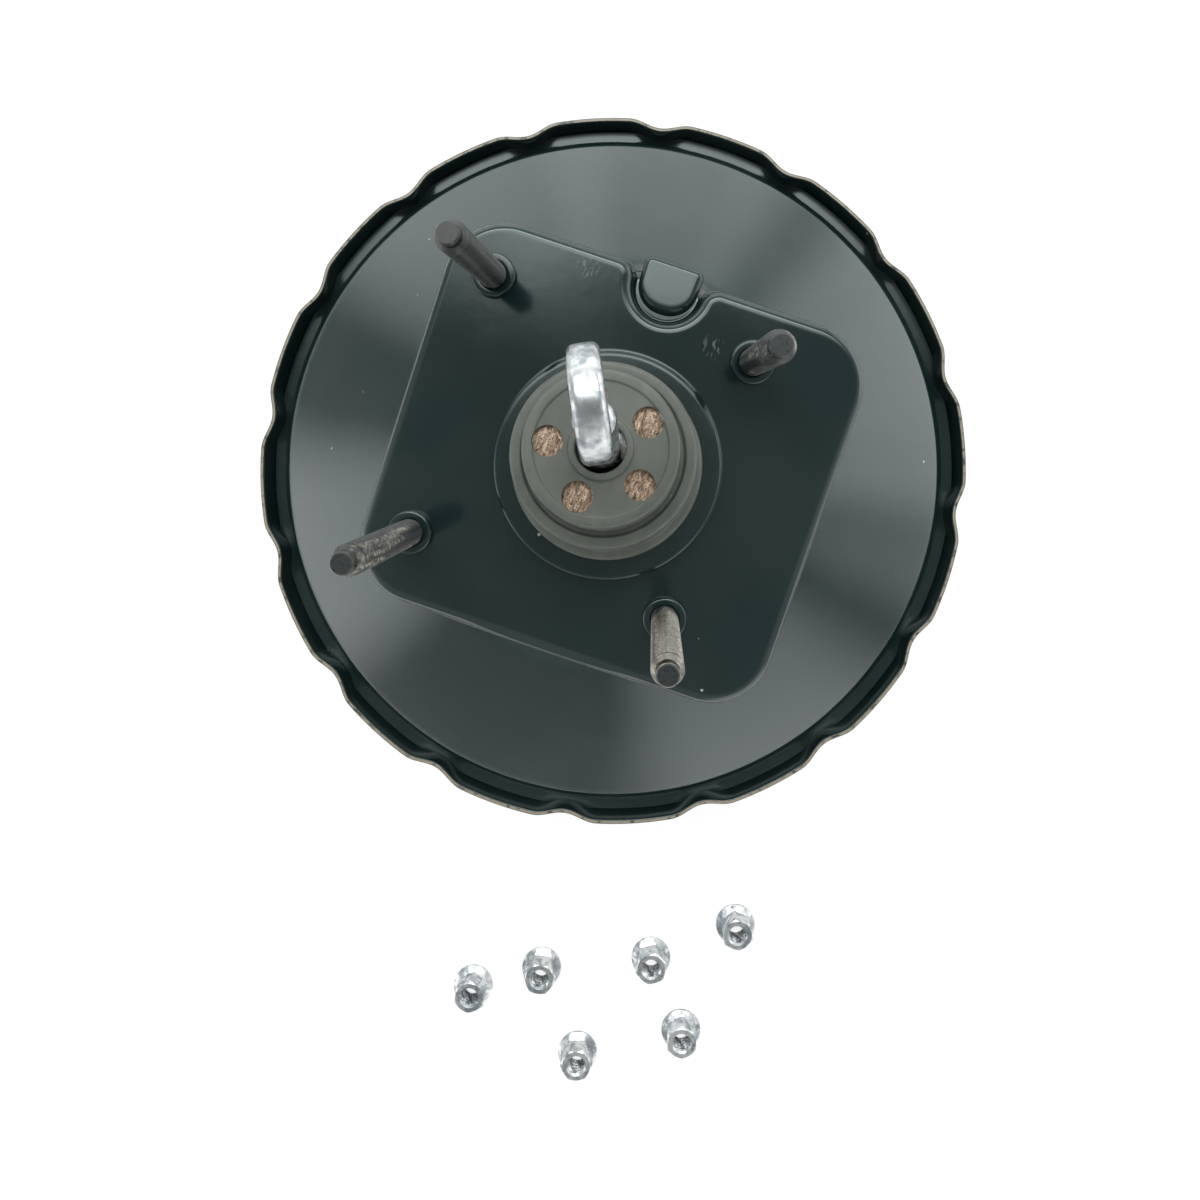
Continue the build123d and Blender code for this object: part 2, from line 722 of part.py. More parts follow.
# Stop key across the valve body, open to one side so that it slides over the plunger's neck
with BuildPart() as stop_key:
    with BuildSketch(Plane.XY.offset(key_low_z)):
        Rectangle(2 * KEY_HALF_LENGTH, KEY_W)
        Circle(KEY_NECK_R + SOFT_CLEAR, mode=Mode.SUBTRACT)
        Rectangle(
            KEY_HALF_LENGTH,
            2 * (KEY_NECK_R + SOFT_CLEAR),
            align=(Align.MIN, Align.CENTER),
            mode=Mode.SUBTRACT,
        )
    extrude(amount=KEY_T)
stop_key.part.label = "stop_key"
export_step(stop_key.part, "parts/stop_key.step")

# Valve plunger with the ball seat of the input rod
groove_top_z = key_top_z + PLUNGER_TRAVEL + KEY_GAP
groove_low_z = key_low_z - KEY_GAP
with BuildPart() as valve_plunger:
    add(
        ring_of_revolution(
            [
                (0, plunger_low_z),
                (PLUNGER_R, plunger_low_z),
                (PLUNGER_R, groove_low_z),
                (KEY_NECK_R, groove_low_z),
                (KEY_NECK_R, groove_top_z),
                (PLUNGER_R, groove_top_z),
                (PLUNGER_R, air_seat_top_z - AIR_SEAT_H),
                (AIR_SEAT_R, air_seat_top_z - AIR_SEAT_H),
                (AIR_SEAT_R, air_seat_top_z),
                (PLUNGER_R, air_seat_top_z),
                (PLUNGER_R, CUP_LOW_Z),
                (CUP_SOCKET_R, CUP_LOW_Z),
                (CUP_SOCKET_R, cup_rim_z - CUP_FLANGE_H),
                (CUP_FLANGE_R, cup_rim_z - CUP_FLANGE_H),
                (CUP_FLANGE_R, cup_rim_z),
                (0, cup_rim_z),
            ]
        )
    )
    with Locations((0, 0, PIVOT_Z)):
        Sphere(socket_r, mode=Mode.SUBTRACT)
valve_plunger.part.label = "valve_plunger"
export_step(valve_plunger.part, "parts/valve_plunger.step")

# Input rod, drawn upright on its ball and then leaned over in the ball seat
lean_axis = Axis((0, 0, PIVOT_Z), (lean_y, -lean_x, 0))
eye_plane = Plane(
    origin=(0, 0, PIVOT_Z + EYE_DISTANCE),
    x_dir=(cos(radians(EYE_PLANE_DEG)), sin(radians(EYE_PLANE_DEG)), 0),
    z_dir=(sin(radians(EYE_PLANE_DEG)), -cos(radians(EYE_PLANE_DEG)), 0),
)
with BuildPart() as eye_blank:
    with BuildSketch(eye_plane.offset(-EYE_T / 2)):
        Circle(EYE_R)
    extrude(amount=EYE_T)
    fillet(eye_blank.edges().filter_by(GeomType.CIRCLE), EYE_ROUND)
with BuildPart() as upright_rod:
    with Locations((0, 0, PIVOT_Z)):
        Sphere(BALL_R)
    with BuildSketch(Plane.XY.offset(PIVOT_Z)):
        Circle(ROD_NECK_R)
    extrude(amount=ROD_NECK_LENGTH)
    with BuildSketch(Plane.XY.offset(PIVOT_Z + ROD_NECK_LENGTH)):
        Circle(ROD_R)
    extrude(amount=EYE_DISTANCE - EYE_R + ROD_SHOULDER - ROD_NECK_LENGTH)
    fillet(upright_rod.faces().sort_by(Axis.Z)[-1].edges(), ROD_SHOULDER_ROUND)
    add(eye_blank.part)
    with BuildSketch(eye_plane.offset(-EYE_T)):
        Circle(EYE_BUSH_R)
    extrude(amount=2 * EYE_T, mode=Mode.SUBTRACT)
with BuildPart() as input_rod:
    add(upright_rod.part.rotate(lean_axis, -ROD_TILT_DEG))
input_rod.part.label = "input_rod"
export_step(input_rod.part, "parts/input_rod.step")

with BuildPart() as upright_bush:
    with BuildSketch(eye_plane.offset(-EYE_T / 2)):
        Circle(EYE_BUSH_R)
        Circle(EYE_BORE_R, mode=Mode.SUBTRACT)
    extrude(amount=EYE_T)
with BuildPart() as rod_eye_bush:
    add(upright_bush.part.rotate(lean_axis, -ROD_TILT_DEG))
rod_eye_bush.part.label = "rod_eye_bush"
export_step(rod_eye_bush.part, "parts/rod_eye_bush.step")

# Poppet valve, its retainer and the two small springs
with BuildPart() as poppet_valve:
    add(
        ring_of_revolution(
            [
                (POPPET_BORE_R, poppet_low_z),
                (POPPET_R, poppet_low_z),
                (POPPET_R, POPPET_RETAINER_LOW_Z),
                (POPPET_R - POPPET_SLEEVE, POPPET_RETAINER_LOW_Z),
                (POPPET_R - POPPET_SLEEVE, poppet_top_z),
                (POPPET_BORE_R, poppet_top_z),
            ]
        )
    )
poppet_valve.part.label = "poppet_valve"
export_step(poppet_valve.part, "parts/poppet_valve.step")

poppet_retainer_top_z = POPPET_RETAINER_LOW_Z + POPPET_RETAINER_H
with BuildPart() as poppet_retainer:
    add(plain_ring(CHAMBER_R, POPPET_RETAINER_BORE_R, poppet_retainer_top_z, POPPET_RETAINER_LOW_Z))
poppet_retainer.part.label = "poppet_retainer"
export_step(poppet_retainer.part, "parts/poppet_retainer.step")

with BuildPart() as poppet_spring:
    add(coil(0, 0, poppet_top_z, POPPET_RETAINER_LOW_Z, POPPET_COIL_R, POPPET_WIRE_R, POPPET_TURNS))
poppet_spring.part.label = "poppet_spring"
export_step(poppet_spring.part, "parts/poppet_spring.step")

with BuildPart() as rod_return_spring:
    add(
        coil(
            0,
            0,
            poppet_retainer_top_z,
            cup_rim_z - CUP_FLANGE_H,
            RETURN_COIL_R,
            RETURN_WIRE_R,
            RETURN_TURNS,
        )
    )
rod_return_spring.part.label = "rod_return_spring"
export_step(rod_return_spring.part, "parts/rod_return_spring.step")

# Reaction disc, output rod, its clip and its adjusting screw
with BuildPart() as reaction_disc:
    with BuildSketch(Plane.XY.offset(reaction_low_z)):
        Circle(REACTION_R)
    extrude(amount=REACTION_H)
reaction_disc.part.label = "reaction_disc"
export_step(reaction_disc.part, "parts/reaction_disc.step")

with BuildPart() as output_rod:
    add(
        ring_of_revolution(
            [
                (0, reaction_low_z),
                (REACTION_R, reaction_low_z),
                (REACTION_R, head_low_z),
                (OUTPUT_R, head_low_z),
                (OUTPUT_R, OUTPUT_LOW_Z),
                (SCREW_R + HOLE_CLEAR, OUTPUT_LOW_Z),
                (SCREW_R + HOLE_CLEAR, OUTPUT_LOW_Z + SCREW_DEPTH),
                (0, OUTPUT_LOW_Z + SCREW_DEPTH),
            ]
        )
    )
output_rod.part.label = "output_rod"
export_step(output_rod.part, "parts/output_rod.step")

with BuildPart() as output_rod_clip:
    add(plain_ring(REACTION_R, OUTPUT_R + SOFT_CLEAR, head_low_z, clip_low_z))
output_rod_clip.part.label = "output_rod_clip"
export_step(output_rod_clip.part, "parts/output_rod_clip.step")

with BuildPart() as adjusting_screw:
    with BuildSketch(Plane.XY.offset(OUTPUT_LOW_Z)):
        Circle(SCREW_R)
    extrude(amount=SCREW_DEPTH)
    with BuildSketch(Plane.XY.offset(OUTPUT_LOW_Z)):
        Circle(SCREW_HEAD_R)
    extrude(amount=-SCREW_HEAD_H)
    fillet(adjusting_screw.faces().sort_by(Axis.Z)[0].edges(), SCREW_ROUND)
adjusting_screw.part.label = "adjusting_screw"
export_step(adjusting_screw.part, "parts/adjusting_screw.step")

# Diaphragm plate on the hub, and the rubber diaphragm over it out to the rim bead
plate_seat_z = piston_mid_z
plate_flat_top_z = plate_seat_z + PLATE_SHEET
plate_edge_top_z = plate_flat_top_z - PLATE_DROP
plate_bore_r = HUB_STEP_R + HOLE_CLEAR
with BuildPart() as diaphragm_plate:
    add(
        ring_of_revolution(
            [
                (plate_bore_r, plate_seat_z),
                (PLATE_FLAT_R, plate_seat_z),
                (plate_outer_r - PLATE_SHEET, plate_edge_top_z - PLATE_SHEET),
                (plate_outer_r - PLATE_SHEET, plate_edge_top_z - PLATE_CURL_H),
                (plate_outer_r, plate_edge_top_z - PLATE_CURL_H),
                (plate_outer_r, plate_edge_top_z),
                (PLATE_FLAT_R, plate_flat_top_z),
                (plate_bore_r, plate_flat_top_z),
            ]
        )
    )
diaphragm_plate.part.label = "diaphragm_plate"
export_step(diaphragm_plate.part, "parts/diaphragm_plate.step")

rubber_flat_z = plate_flat_top_z + RUBBER
rubber_edge_z = plate_edge_top_z + RUBBER
bead_out_r = flange_r
bead_in_r = CUP_R - SHEET
with BuildPart() as diaphragm:
    add(
        ring_of_revolution(
            [
                (plate_bore_r, plate_flat_top_z),
                (PLATE_FLAT_R, plate_flat_top_z),
                (plate_outer_r, plate_edge_top_z),
                (roll_r, plate_edge_top_z - ROLL_DROP),
                (bead_in_r - RUBBER, bead_low_z),
                (bead_out_r, bead_low_z),
                (bead_out_r, flange_low_z),
                (bead_in_r, flange_low_z),
                (roll_r + RUBBER, rubber_edge_z - ROLL_DROP),
                (plate_outer_r, rubber_edge_z),
                (PLATE_FLAT_R, rubber_flat_z),
                (plate_bore_r + INNER_BEAD_W, rubber_flat_z),
                (plate_bore_r + INNER_BEAD_W, plate_flat_top_z + INNER_BEAD_H),
                (plate_bore_r, plate_flat_top_z + INNER_BEAD_H),
            ]
        )
    )
diaphragm.part.label = "diaphragm"
export_step(diaphragm.part, "parts/diaphragm.step")

# Main return spring between the hub and the front stiffener
with BuildPart() as main_return_spring:
    add(coil(0, 0, stiffener_top_z, piston_low_z, MAIN_COIL_R, MAIN_WIRE_R, MAIN_TURNS))
main_return_spring.part.label = "main_return_spring"
export_step(main_return_spring.part, "parts/main_return_spring.step")

# Filter holder on the tail, silencer foam in it and the felt in its dish
dish_x = DISH_SHIFT * lean_x
dish_y = DISH_SHIFT * lean_y
dish_top_z = dish_floor_z + DISH_FLOOR_T
with BuildPart() as filter_holder:
    with BuildSketch(Plane.XY.offset(TAIL_TOP_Z)):
        Circle(HOLDER_R)
        Circle(HOLDER_R - HOLDER_WALL, mode=Mode.SUBTRACT)
    extrude(amount=dish_floor_z - TAIL_TOP_Z)
    with BuildSketch(Plane.XY.offset(TAIL_TOP_Z)):
        Circle(HOLDER_FOOT_R)
        Circle(HOLDER_R - HOLDER_WALL, mode=Mode.SUBTRACT)
    extrude(amount=HOLDER_FOOT_T)
    with BuildSketch(Plane.XY.offset(dish_floor_z)):
        with Locations((dish_x, dish_y)):
            Circle(DISH_R)
            Circle(DISH_BORE_R, mode=Mode.SUBTRACT)
    extrude(amount=DISH_FLOOR_T)
    with BuildSketch(Plane.XY.offset(dish_top_z)):
        with Locations((dish_x, dish_y)):
            Circle(DISH_R)
            Circle(DISH_R - DISH_WALL, mode=Mode.SUBTRACT)
    extrude(amount=FELT_H)
filter_holder.part.label = "filter_holder"
export_step(filter_holder.part, "parts/filter_holder.step")

with BuildPart() as silencer_foam:
    add(plain_ring(HOLDER_R - HOLDER_WALL - FOAM_CLEAR, FOAM_BORE_R, dish_floor_z, TAIL_TOP_Z + FOAM_CLEAR))
silencer_foam.part.label = "silencer_foam"
export_step(silencer_foam.part, "parts/silencer_foam.step")

with BuildPart() as felt_filter:
    with BuildSketch(Plane.XY.offset(dish_top_z)):
        with Locations((dish_x, dish_y)):
            Circle(DISH_R - DISH_WALL - HOLE_CLEAR)
            Circle(FELT_BORE_R, mode=Mode.SUBTRACT)
    extrude(amount=FELT_H)
felt_filter.part.label = "felt_filter"
export_step(felt_filter.part, "parts/felt_filter.step")


def boot_skin(sections):
    """A straight-sided skin through round sections of (height, radius), drawn aside with the leaning rod."""
    with BuildPart() as skin:
        for height, radius in sections:
            with BuildSketch(Plane.XY.offset(height)):
                with Locations((boot_shift(height) * lean_x, boot_shift(height) * lean_y)):
                    Circle(radius)
        loft(ruled=True)
    return skin.part


# Rubber boot: foot on the hub, one wide step, the end disc with its breather holes and a collar for the rod
boot_foot_top_z = HUB_TOP_Z + BOOT_FOOT_H
boot_cap_low_z = BOOT_TOP_Z - BOOT_CAP_T
boot_top_shift = boot_shift(BOOT_TOP_Z)
with BuildPart() as boot:
    add(
        boot_skin(
            [
                (HUB_TOP_Z, BOOT_FOOT_R),
                (boot_foot_top_z, BOOT_FOOT_R),
                (boot_foot_top_z + BOOT_EDGE, BOOT_STEP_R + BOOT_WALL / 2),
                (BOOT_STEP_Z - BOOT_EDGE, BOOT_STEP_R),
                (BOOT_STEP_Z, BOOT_STEP_R - BOOT_EDGE),
                (BOOT_STEP_Z + BOOT_EDGE / 2, BOOT_CAP_R + BOOT_EDGE / 2),
                (BOOT_STEP_Z + 2 * BOOT_EDGE, BOOT_CAP_R),
                (BOOT_TOP_Z - BOOT_EDGE, BOOT_CAP_R),
                (BOOT_TOP_Z, BOOT_CAP_R - BOOT_EDGE),
            ]
        )
    )
    with BuildSketch(Plane.XY.offset(BOOT_TOP_Z)):
        with Locations((boot_top_shift * lean_x, boot_top_shift * lean_y)):
            Circle(BOOT_ROD_HOLE_R + BOOT_COLLAR_WALL)
    extrude(amount=BOOT_COLLAR_H)
    add(
        boot_skin(
            [
                (HUB_TOP_Z, BOOT_STEP_R - BOOT_WALL),
                (BOOT_STEP_Z - BOOT_EDGE - BOOT_WALL, BOOT_STEP_R - BOOT_WALL),
                (BOOT_STEP_Z - BOOT_WALL, BOOT_CAP_R - BOOT_WALL),
                (boot_cap_low_z, BOOT_CAP_R - BOOT_WALL),
            ]
        ),
        mode=Mode.SUBTRACT,
    )
    with BuildSketch(Plane.XY.offset(boot_cap_low_z)):
        with Locations((boot_top_shift * lean_x, boot_top_shift * lean_y)):
            Circle(BOOT_ROD_HOLE_R)
            with PolarLocations(BOOT_HOLE_CIRCLE_R, BOOT_HOLE_COUNT, start_angle=BOOT_HOLE_PHASE_DEG):
                Circle(BOOT_HOLE_R)
    extrude(amount=BOOT_CAP_T + BOOT_COLLAR_H, mode=Mode.SUBTRACT)
boot.part.label = "boot"
export_step(boot.part, "parts/boot.step")

# Vacuum check valve: grommet in the front shell, body, sprung disc and the elbow cap with its hose nipple
grommet_low_z = FACE_Z - GROMMET_OUT_H
shell_in_z = FACE_Z + SHEET
grommet_top_z = shell_in_z + GROMMET_IN_H
with BuildPart() as valve_grommet:
    add(
        valve_ring(
            [
                (STEM_R + HOLE_CLEAR, grommet_low_z),
                (GROMMET_FLANGE_R, grommet_low_z),
                (GROMMET_FLANGE_R, FACE_Z),
                (GROMMET_R - HOLE_CLEAR, FACE_Z),
                (GROMMET_R - HOLE_CLEAR, shell_in_z),
                (GROMMET_FLANGE_R - HOLE_CLEAR, shell_in_z),
                (GROMMET_R, grommet_top_z),
                (STEM_R + HOLE_CLEAR, grommet_top_z),
            ]
        )
    )
valve_grommet.part.label = "valve_grommet"
export_step(valve_grommet.part, "parts/valve_grommet.step")

stem_top_z = grommet_top_z + STEM_UP
body_top_z = grommet_low_z
body_step_z = body_top_z - BODY_FLANGE_H
chamber_top_z = body_step_z - BODY_FLOOR_T
ridge_low_z = chamber_top_z - RIDGE_H
disc_top_z = ridge_low_z - DISC_GAP
disc_low_z = disc_top_z - DISC_T
cap_plug_z = disc_low_z - DISC_TRAVEL - 2 * VALVE_WIRE_R * (VALVE_TURNS + 1)
body_low_z = cap_plug_z - CAP_PLUG_H
with BuildPart() as check_valve_body:
    add(
        valve_ring(
            [
                (STEM_BORE_R, stem_top_z),
                (STEM_R, stem_top_z),
                (STEM_R, body_top_z),
                (BODY_FLANGE_R, body_top_z),
                (BODY_FLANGE_R, body_step_z),
                (BODY_R, body_step_z),
                (BODY_R, body_low_z),
                (BODY_CHAMBER_R, body_low_z),
                (BODY_CHAMBER_R, chamber_top_z),
                (STEM_BORE_R + RIDGE_W, chamber_top_z),
                (STEM_BORE_R + RIDGE_W, ridge_low_z),
                (STEM_BORE_R, ridge_low_z),
            ]
        )
    )
check_valve_body.part.label = "check_valve_body"
export_step(check_valve_body.part, "parts/check_valve_body.step")

with BuildPart() as check_valve_disc:
    add(valve_ring([(0, disc_low_z), (DISC_R, disc_low_z), (DISC_R, disc_top_z), (0, disc_top_z)]))
check_valve_disc.part.label = "check_valve_disc"
export_step(check_valve_disc.part, "parts/check_valve_disc.step")

cap_low_z = body_low_z - CAP_H
nipple_z = cap_low_z + NIPPLE_SILL + NIPPLE_R
nipple_out = Vector(cos(radians(VALVE_DEG)), sin(radians(VALVE_DEG)), 0)
nipple_plane = Plane(origin=(valve_x, valve_y, nipple_z), x_dir=(0, 0, 1), z_dir=nipple_out)
with BuildPart() as check_valve_cap:
    add(
        valve_ring(
            [
                (0, cap_low_z),
                (BODY_R, cap_low_z),
                (BODY_R, body_low_z),
                (BODY_CHAMBER_R - HOLE_CLEAR, body_low_z),
                (BODY_CHAMBER_R - HOLE_CLEAR, cap_plug_z),
                (0, cap_plug_z),
            ]
        )
    )
    with BuildSketch(nipple_plane):
        Circle(NIPPLE_R)
    extrude(amount=NIPPLE_REACH)
    with BuildSketch(nipple_plane):
        Circle(NIPPLE_ROOT_R)
    extrude(amount=NIPPLE_ROOT_REACH)
    with BuildSketch(nipple_plane.offset(NIPPLE_ROOT_REACH)):
        Circle(NIPPLE_ROOT_R)
    extrude(amount=NIPPLE_ROOT_CONE, taper=NIPPLE_ROOT_DEG)
    chamfer(check_valve_cap.faces().sort_by(Axis((0, 0, 0), nipple_out))[-1].edges(), NIPPLE_CHAMFER)
    with BuildSketch(nipple_plane):
        Circle(NIPPLE_BORE_R)
    extrude(amount=NIPPLE_REACH, mode=Mode.SUBTRACT)
    with BuildSketch(Plane.XY.offset(cap_plug_z)):
        with Locations((valve_x, valve_y)):
            Circle(CAP_BORE_R)
    extrude(amount=nipple_z - cap_plug_z, mode=Mode.SUBTRACT)
check_valve_cap.part.label = "check_valve_cap"
export_step(check_valve_cap.part, "parts/check_valve_cap.step")

with BuildPart() as check_valve_spring:
    add(coil(valve_x, valve_y, cap_plug_z, disc_low_z, VALVE_COIL_R, VALVE_WIRE_R, VALVE_TURNS))
check_valve_spring.part.label = "check_valve_spring"
export_step(check_valve_spring.part, "parts/check_valve_spring.step")

# Flange nuts of the six studs, taken off and lying beside the booster
with BuildPart() as one_nut:
    with BuildSketch():
        RegularPolygon(NUT_FLAT / 2, NUT_SIDES, major_radius=False)
    extrude(amount=NUT_H)
    with BuildSketch(Plane.XZ):
        with BuildLine():
            Polyline(
                (0, NUT_H),
                (NUT_FLAT / 2, NUT_H),
                (NUT_FLAT, NUT_H - NUT_FLAT / 2),
                (NUT_FLAT, 0),
                (0, 0),
                close=True,
            )
        make_face()
    revolve(axis=Axis.Z, mode=Mode.INTERSECT)
    with BuildSketch():
        Circle(NUT_FLANGE_R)
    extrude(amount=NUT_FLANGE_T)
    with BuildSketch(Plane.XY.offset(NUT_FLANGE_T)):
        Circle(NUT_FLANGE_R)
    with BuildSketch(Plane.XY.offset(NUT_FLANGE_T + NUT_SLOPE_H)):
        Circle(NUT_FLAT / 2)
    loft()
    with BuildSketch():
        Circle(NUT_BORE_R)
    extrude(amount=NUT_H, mode=Mode.SUBTRACT)
    nut_circles = one_nut.edges().filter_by(GeomType.CIRCLE)
    bore_rims = nut_circles.filter_by(lambda edge: abs(edge.radius - NUT_BORE_R) < HOLE_CLEAR)
    chamfer(bore_rims, NUT_CHAMFER)
with BuildPart() as flange_nuts:
    for nut_x, nut_y, nut_turn in NUT_PLACES:
        add(Location((nut_x, nut_y, floor_z), (0, 0, nut_turn)) * one_nut.part)
flange_nuts.part.label = "flange_nuts"
export_step(flange_nuts.part, "parts/flange_nuts.step")
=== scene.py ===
"""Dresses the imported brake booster: pressed shells, boot, studs, pedal rod, nuts, inner pieces and studio."""

import json
import logging
import math
from dataclasses import dataclass, field
from enum import Enum
from typing import Callable, Sequence

import bmesh
import bpy
import numpy as np
from mathutils import Matrix, Vector


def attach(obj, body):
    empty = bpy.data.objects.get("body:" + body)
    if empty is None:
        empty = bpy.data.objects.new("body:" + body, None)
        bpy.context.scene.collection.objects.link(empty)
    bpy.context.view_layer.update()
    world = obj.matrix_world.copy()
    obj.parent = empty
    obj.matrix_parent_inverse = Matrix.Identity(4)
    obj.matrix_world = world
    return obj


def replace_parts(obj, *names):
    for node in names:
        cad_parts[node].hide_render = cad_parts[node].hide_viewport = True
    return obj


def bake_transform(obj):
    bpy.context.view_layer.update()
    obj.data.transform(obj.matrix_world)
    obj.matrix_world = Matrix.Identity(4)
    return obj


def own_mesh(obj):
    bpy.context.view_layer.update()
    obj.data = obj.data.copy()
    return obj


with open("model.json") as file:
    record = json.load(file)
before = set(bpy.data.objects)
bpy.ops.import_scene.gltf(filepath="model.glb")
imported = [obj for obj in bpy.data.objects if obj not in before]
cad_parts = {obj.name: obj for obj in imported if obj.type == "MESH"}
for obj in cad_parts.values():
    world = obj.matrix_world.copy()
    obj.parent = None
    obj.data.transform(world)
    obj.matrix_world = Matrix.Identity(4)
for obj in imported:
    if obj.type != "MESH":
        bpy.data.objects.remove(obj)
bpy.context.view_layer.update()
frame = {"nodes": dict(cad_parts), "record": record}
MM = 0.001
LOG = logging.getLogger("booster")
Corner = tuple[float, float, float]
Colour = tuple[float, float, float, float]


class Body(Enum):
    """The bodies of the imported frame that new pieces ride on."""

    HOUSING = "housing"
    PISTON = "power_piston"
    ROD = "input_rod"


@dataclass(frozen=True)
class Datum:
    """Heights, radii and slopes that several pieces share, in millimetres and degrees."""

    sheet: float = 1.6
    platform_z: float = 98.0
    platform_tilt: float = 4.0
    hub_top_z: float = 103.0
    flange_top_z: float = 55.0
    floor_z: float = -22.0
    lean: float = 12.2
    lean_to: float = 108.0
    pivot_z: float = 116.0
    boot_top_z: float = 135.0

    @property
    def normal(self) -> np.ndarray:
        """Unit normal of the inclined platform."""
        tilt = math.radians(self.platform_tilt)
        return np.array([0.0, -math.sin(tilt), math.cos(tilt)])

    @property
    def along(self) -> np.ndarray:
        """Unit vector up the inclined platform, square to X."""
        tilt = math.radians(self.platform_tilt)
        return np.array([0.0, math.cos(tilt), math.sin(tilt)])

    @property
    def lean_way(self) -> np.ndarray:
        """Level unit vector towards which the pedal rod leans."""
        turn = math.radians(self.lean_to)
        return np.array([math.cos(turn), math.sin(turn), 0.0])

    @property
    def rod_way(self) -> np.ndarray:
        """Unit vector along the leaning pedal rod."""
        lean = math.radians(self.lean)
        return math.sin(lean) * self.lean_way + math.cos(lean) * np.array([0.0, 0.0, 1.0])

    def plane_z(self, y: np.ndarray) -> np.ndarray:
        """Height of the platform's plane at a given y."""
        return self.platform_z + y * math.tan(math.radians(self.platform_tilt))

    def on_platform(self, u: float, v: float) -> np.ndarray:
        """A point of the platform, given along it and up it."""
        return np.array([u, 0.0, self.platform_z]) + v * self.along


DATUM = Datum()


def smooth_step(low: float, high: float, value: np.ndarray) -> np.ndarray:
    """Smooth ramp from 0 at low to 1 at high.

    Args:
        low: Value at which the ramp starts.
        high: Value at which it ends.
        value: Points to evaluate.

    Returns:
        The ramp at each point.
    """
    t = np.clip((value - low) / (high - low), 0.0, 1.0)
    return t * t * (3.0 - 2.0 * t)


def soft_max(a: np.ndarray, b: np.ndarray, reach: np.ndarray) -> np.ndarray:
    """Larger of two heights, with a rounded valley where they cross.

    Args:
        a: First height.
        b: Second height.
        reach: Height difference within which the two are blended.

    Returns:
        The blended height.
    """
    h = np.maximum(reach - np.abs(a - b), 0.0) / np.maximum(reach, 1e-6)
    return np.maximum(a, b) + h * h * reach * 0.25


def rounded_path(corners: Sequence[Corner], steps: int = 5, guard: float = 0.4) -> np.ndarray:
    """Closed outline with its corners rounded by arcs.

    Args:
        corners: (x, y, radius) of each corner, in order.
        steps: Points on each arc.
        guard: Distance from each arc at which a straight run gets one more point, to keep it flat.

    Returns:
        The outline's points.
    """
    count = len(corners)
    points: list[np.ndarray] = []
    for k in range(count):
        here = np.array(corners[k][:2])
        back = np.array(corners[k - 1][:2]) - here
        ahead = np.array(corners[(k + 1) % count][:2]) - here
        back_length, ahead_length = np.linalg.norm(back), np.linalg.norm(ahead)
        back, ahead = back / back_length, ahead / ahead_length
        half = 0.5 * math.acos(float(np.clip(back @ ahead, -1.0, 1.0)))
        radius = corners[k][2]
        if radius <= 0.0 or half > 1.55:
            points.append(here)
            continue
        cut = radius / math.tan(half)
        middle = (back + ahead) / np.linalg.norm(back + ahead)
        centre = here + middle * radius / math.sin(half)
        start, end = here + back * cut - centre, here + ahead * cut - centre
        if back_length > 2 * cut + 2 * guard:
            points.append(here + back * (cut + guard))
        sweep = math.pi - 2 * half
        for i in range(steps + 1):
            t = i / steps
            a = math.sin((1 - t) * sweep) / math.sin(sweep)
            b = math.sin(t * sweep) / math.sin(sweep)
            points.append(centre + a * start + b * end)
        if ahead_length > 2 * cut + 2 * guard:
            points.append(here + ahead * (cut + guard))
    return np.array(points)


def circle(radius: float, columns: int, z: float, centre: Sequence[float] = (0.0, 0.0)) -> np.ndarray:
    """Level ring of points.

    Args:
        radius: Radius of the ring.
        columns: Number of points.
        z: Height of the ring.
        centre: x and y of its centre.

    Returns:
        The points, one row each.
    """
    turn = np.linspace(0.0, 2 * math.pi, columns, endpoint=False)
    x = centre[0] + radius * np.cos(turn)
    y = centre[1] + radius * np.sin(turn)
    return np.stack([x, y, np.full(columns, z)], axis=1)


def lathe(profile: np.ndarray, columns: int, centre: Sequence[float] = (0.0, 0.0)) -> list[np.ndarray]:
    """Rings of a turned piece.

    Args:
        profile: (radius, height) points.
        columns: Points on each ring.
        centre: x and y of the turning axis.

    Returns:
        One ring for each point of the profile.
    """
    return [circle(r, columns, z, centre) for r, z in profile]


def to_frame(rows: Sequence[np.ndarray], origin: np.ndarray, way: np.ndarray) -> list[np.ndarray]:
    """Turns rows that were made along +Z so that they run along another way.

    Args:
        rows: Rings about the Z axis, from z = 0.
        origin: Point that z = 0 moves to.
        way: Unit vector that +Z turns to.

    Returns:
        The turned rows.
    """
    turn = np.array(Vector((0.0, 0.0, 1.0)).rotation_difference(Vector(way)).to_matrix())
    return [row @ turn.T + origin for row in rows]


def new_object(name: str, mesh: bpy.types.Mesh) -> bpy.types.Object:
    """Links a mesh into the scene as an object at the origin.

    Args:
        name: Name of the object.
        mesh: Its mesh.

    Returns:
        The object.
    """
    piece = bpy.data.objects.new(name, mesh)
    bpy.context.scene.collection.objects.link(piece)
    return piece


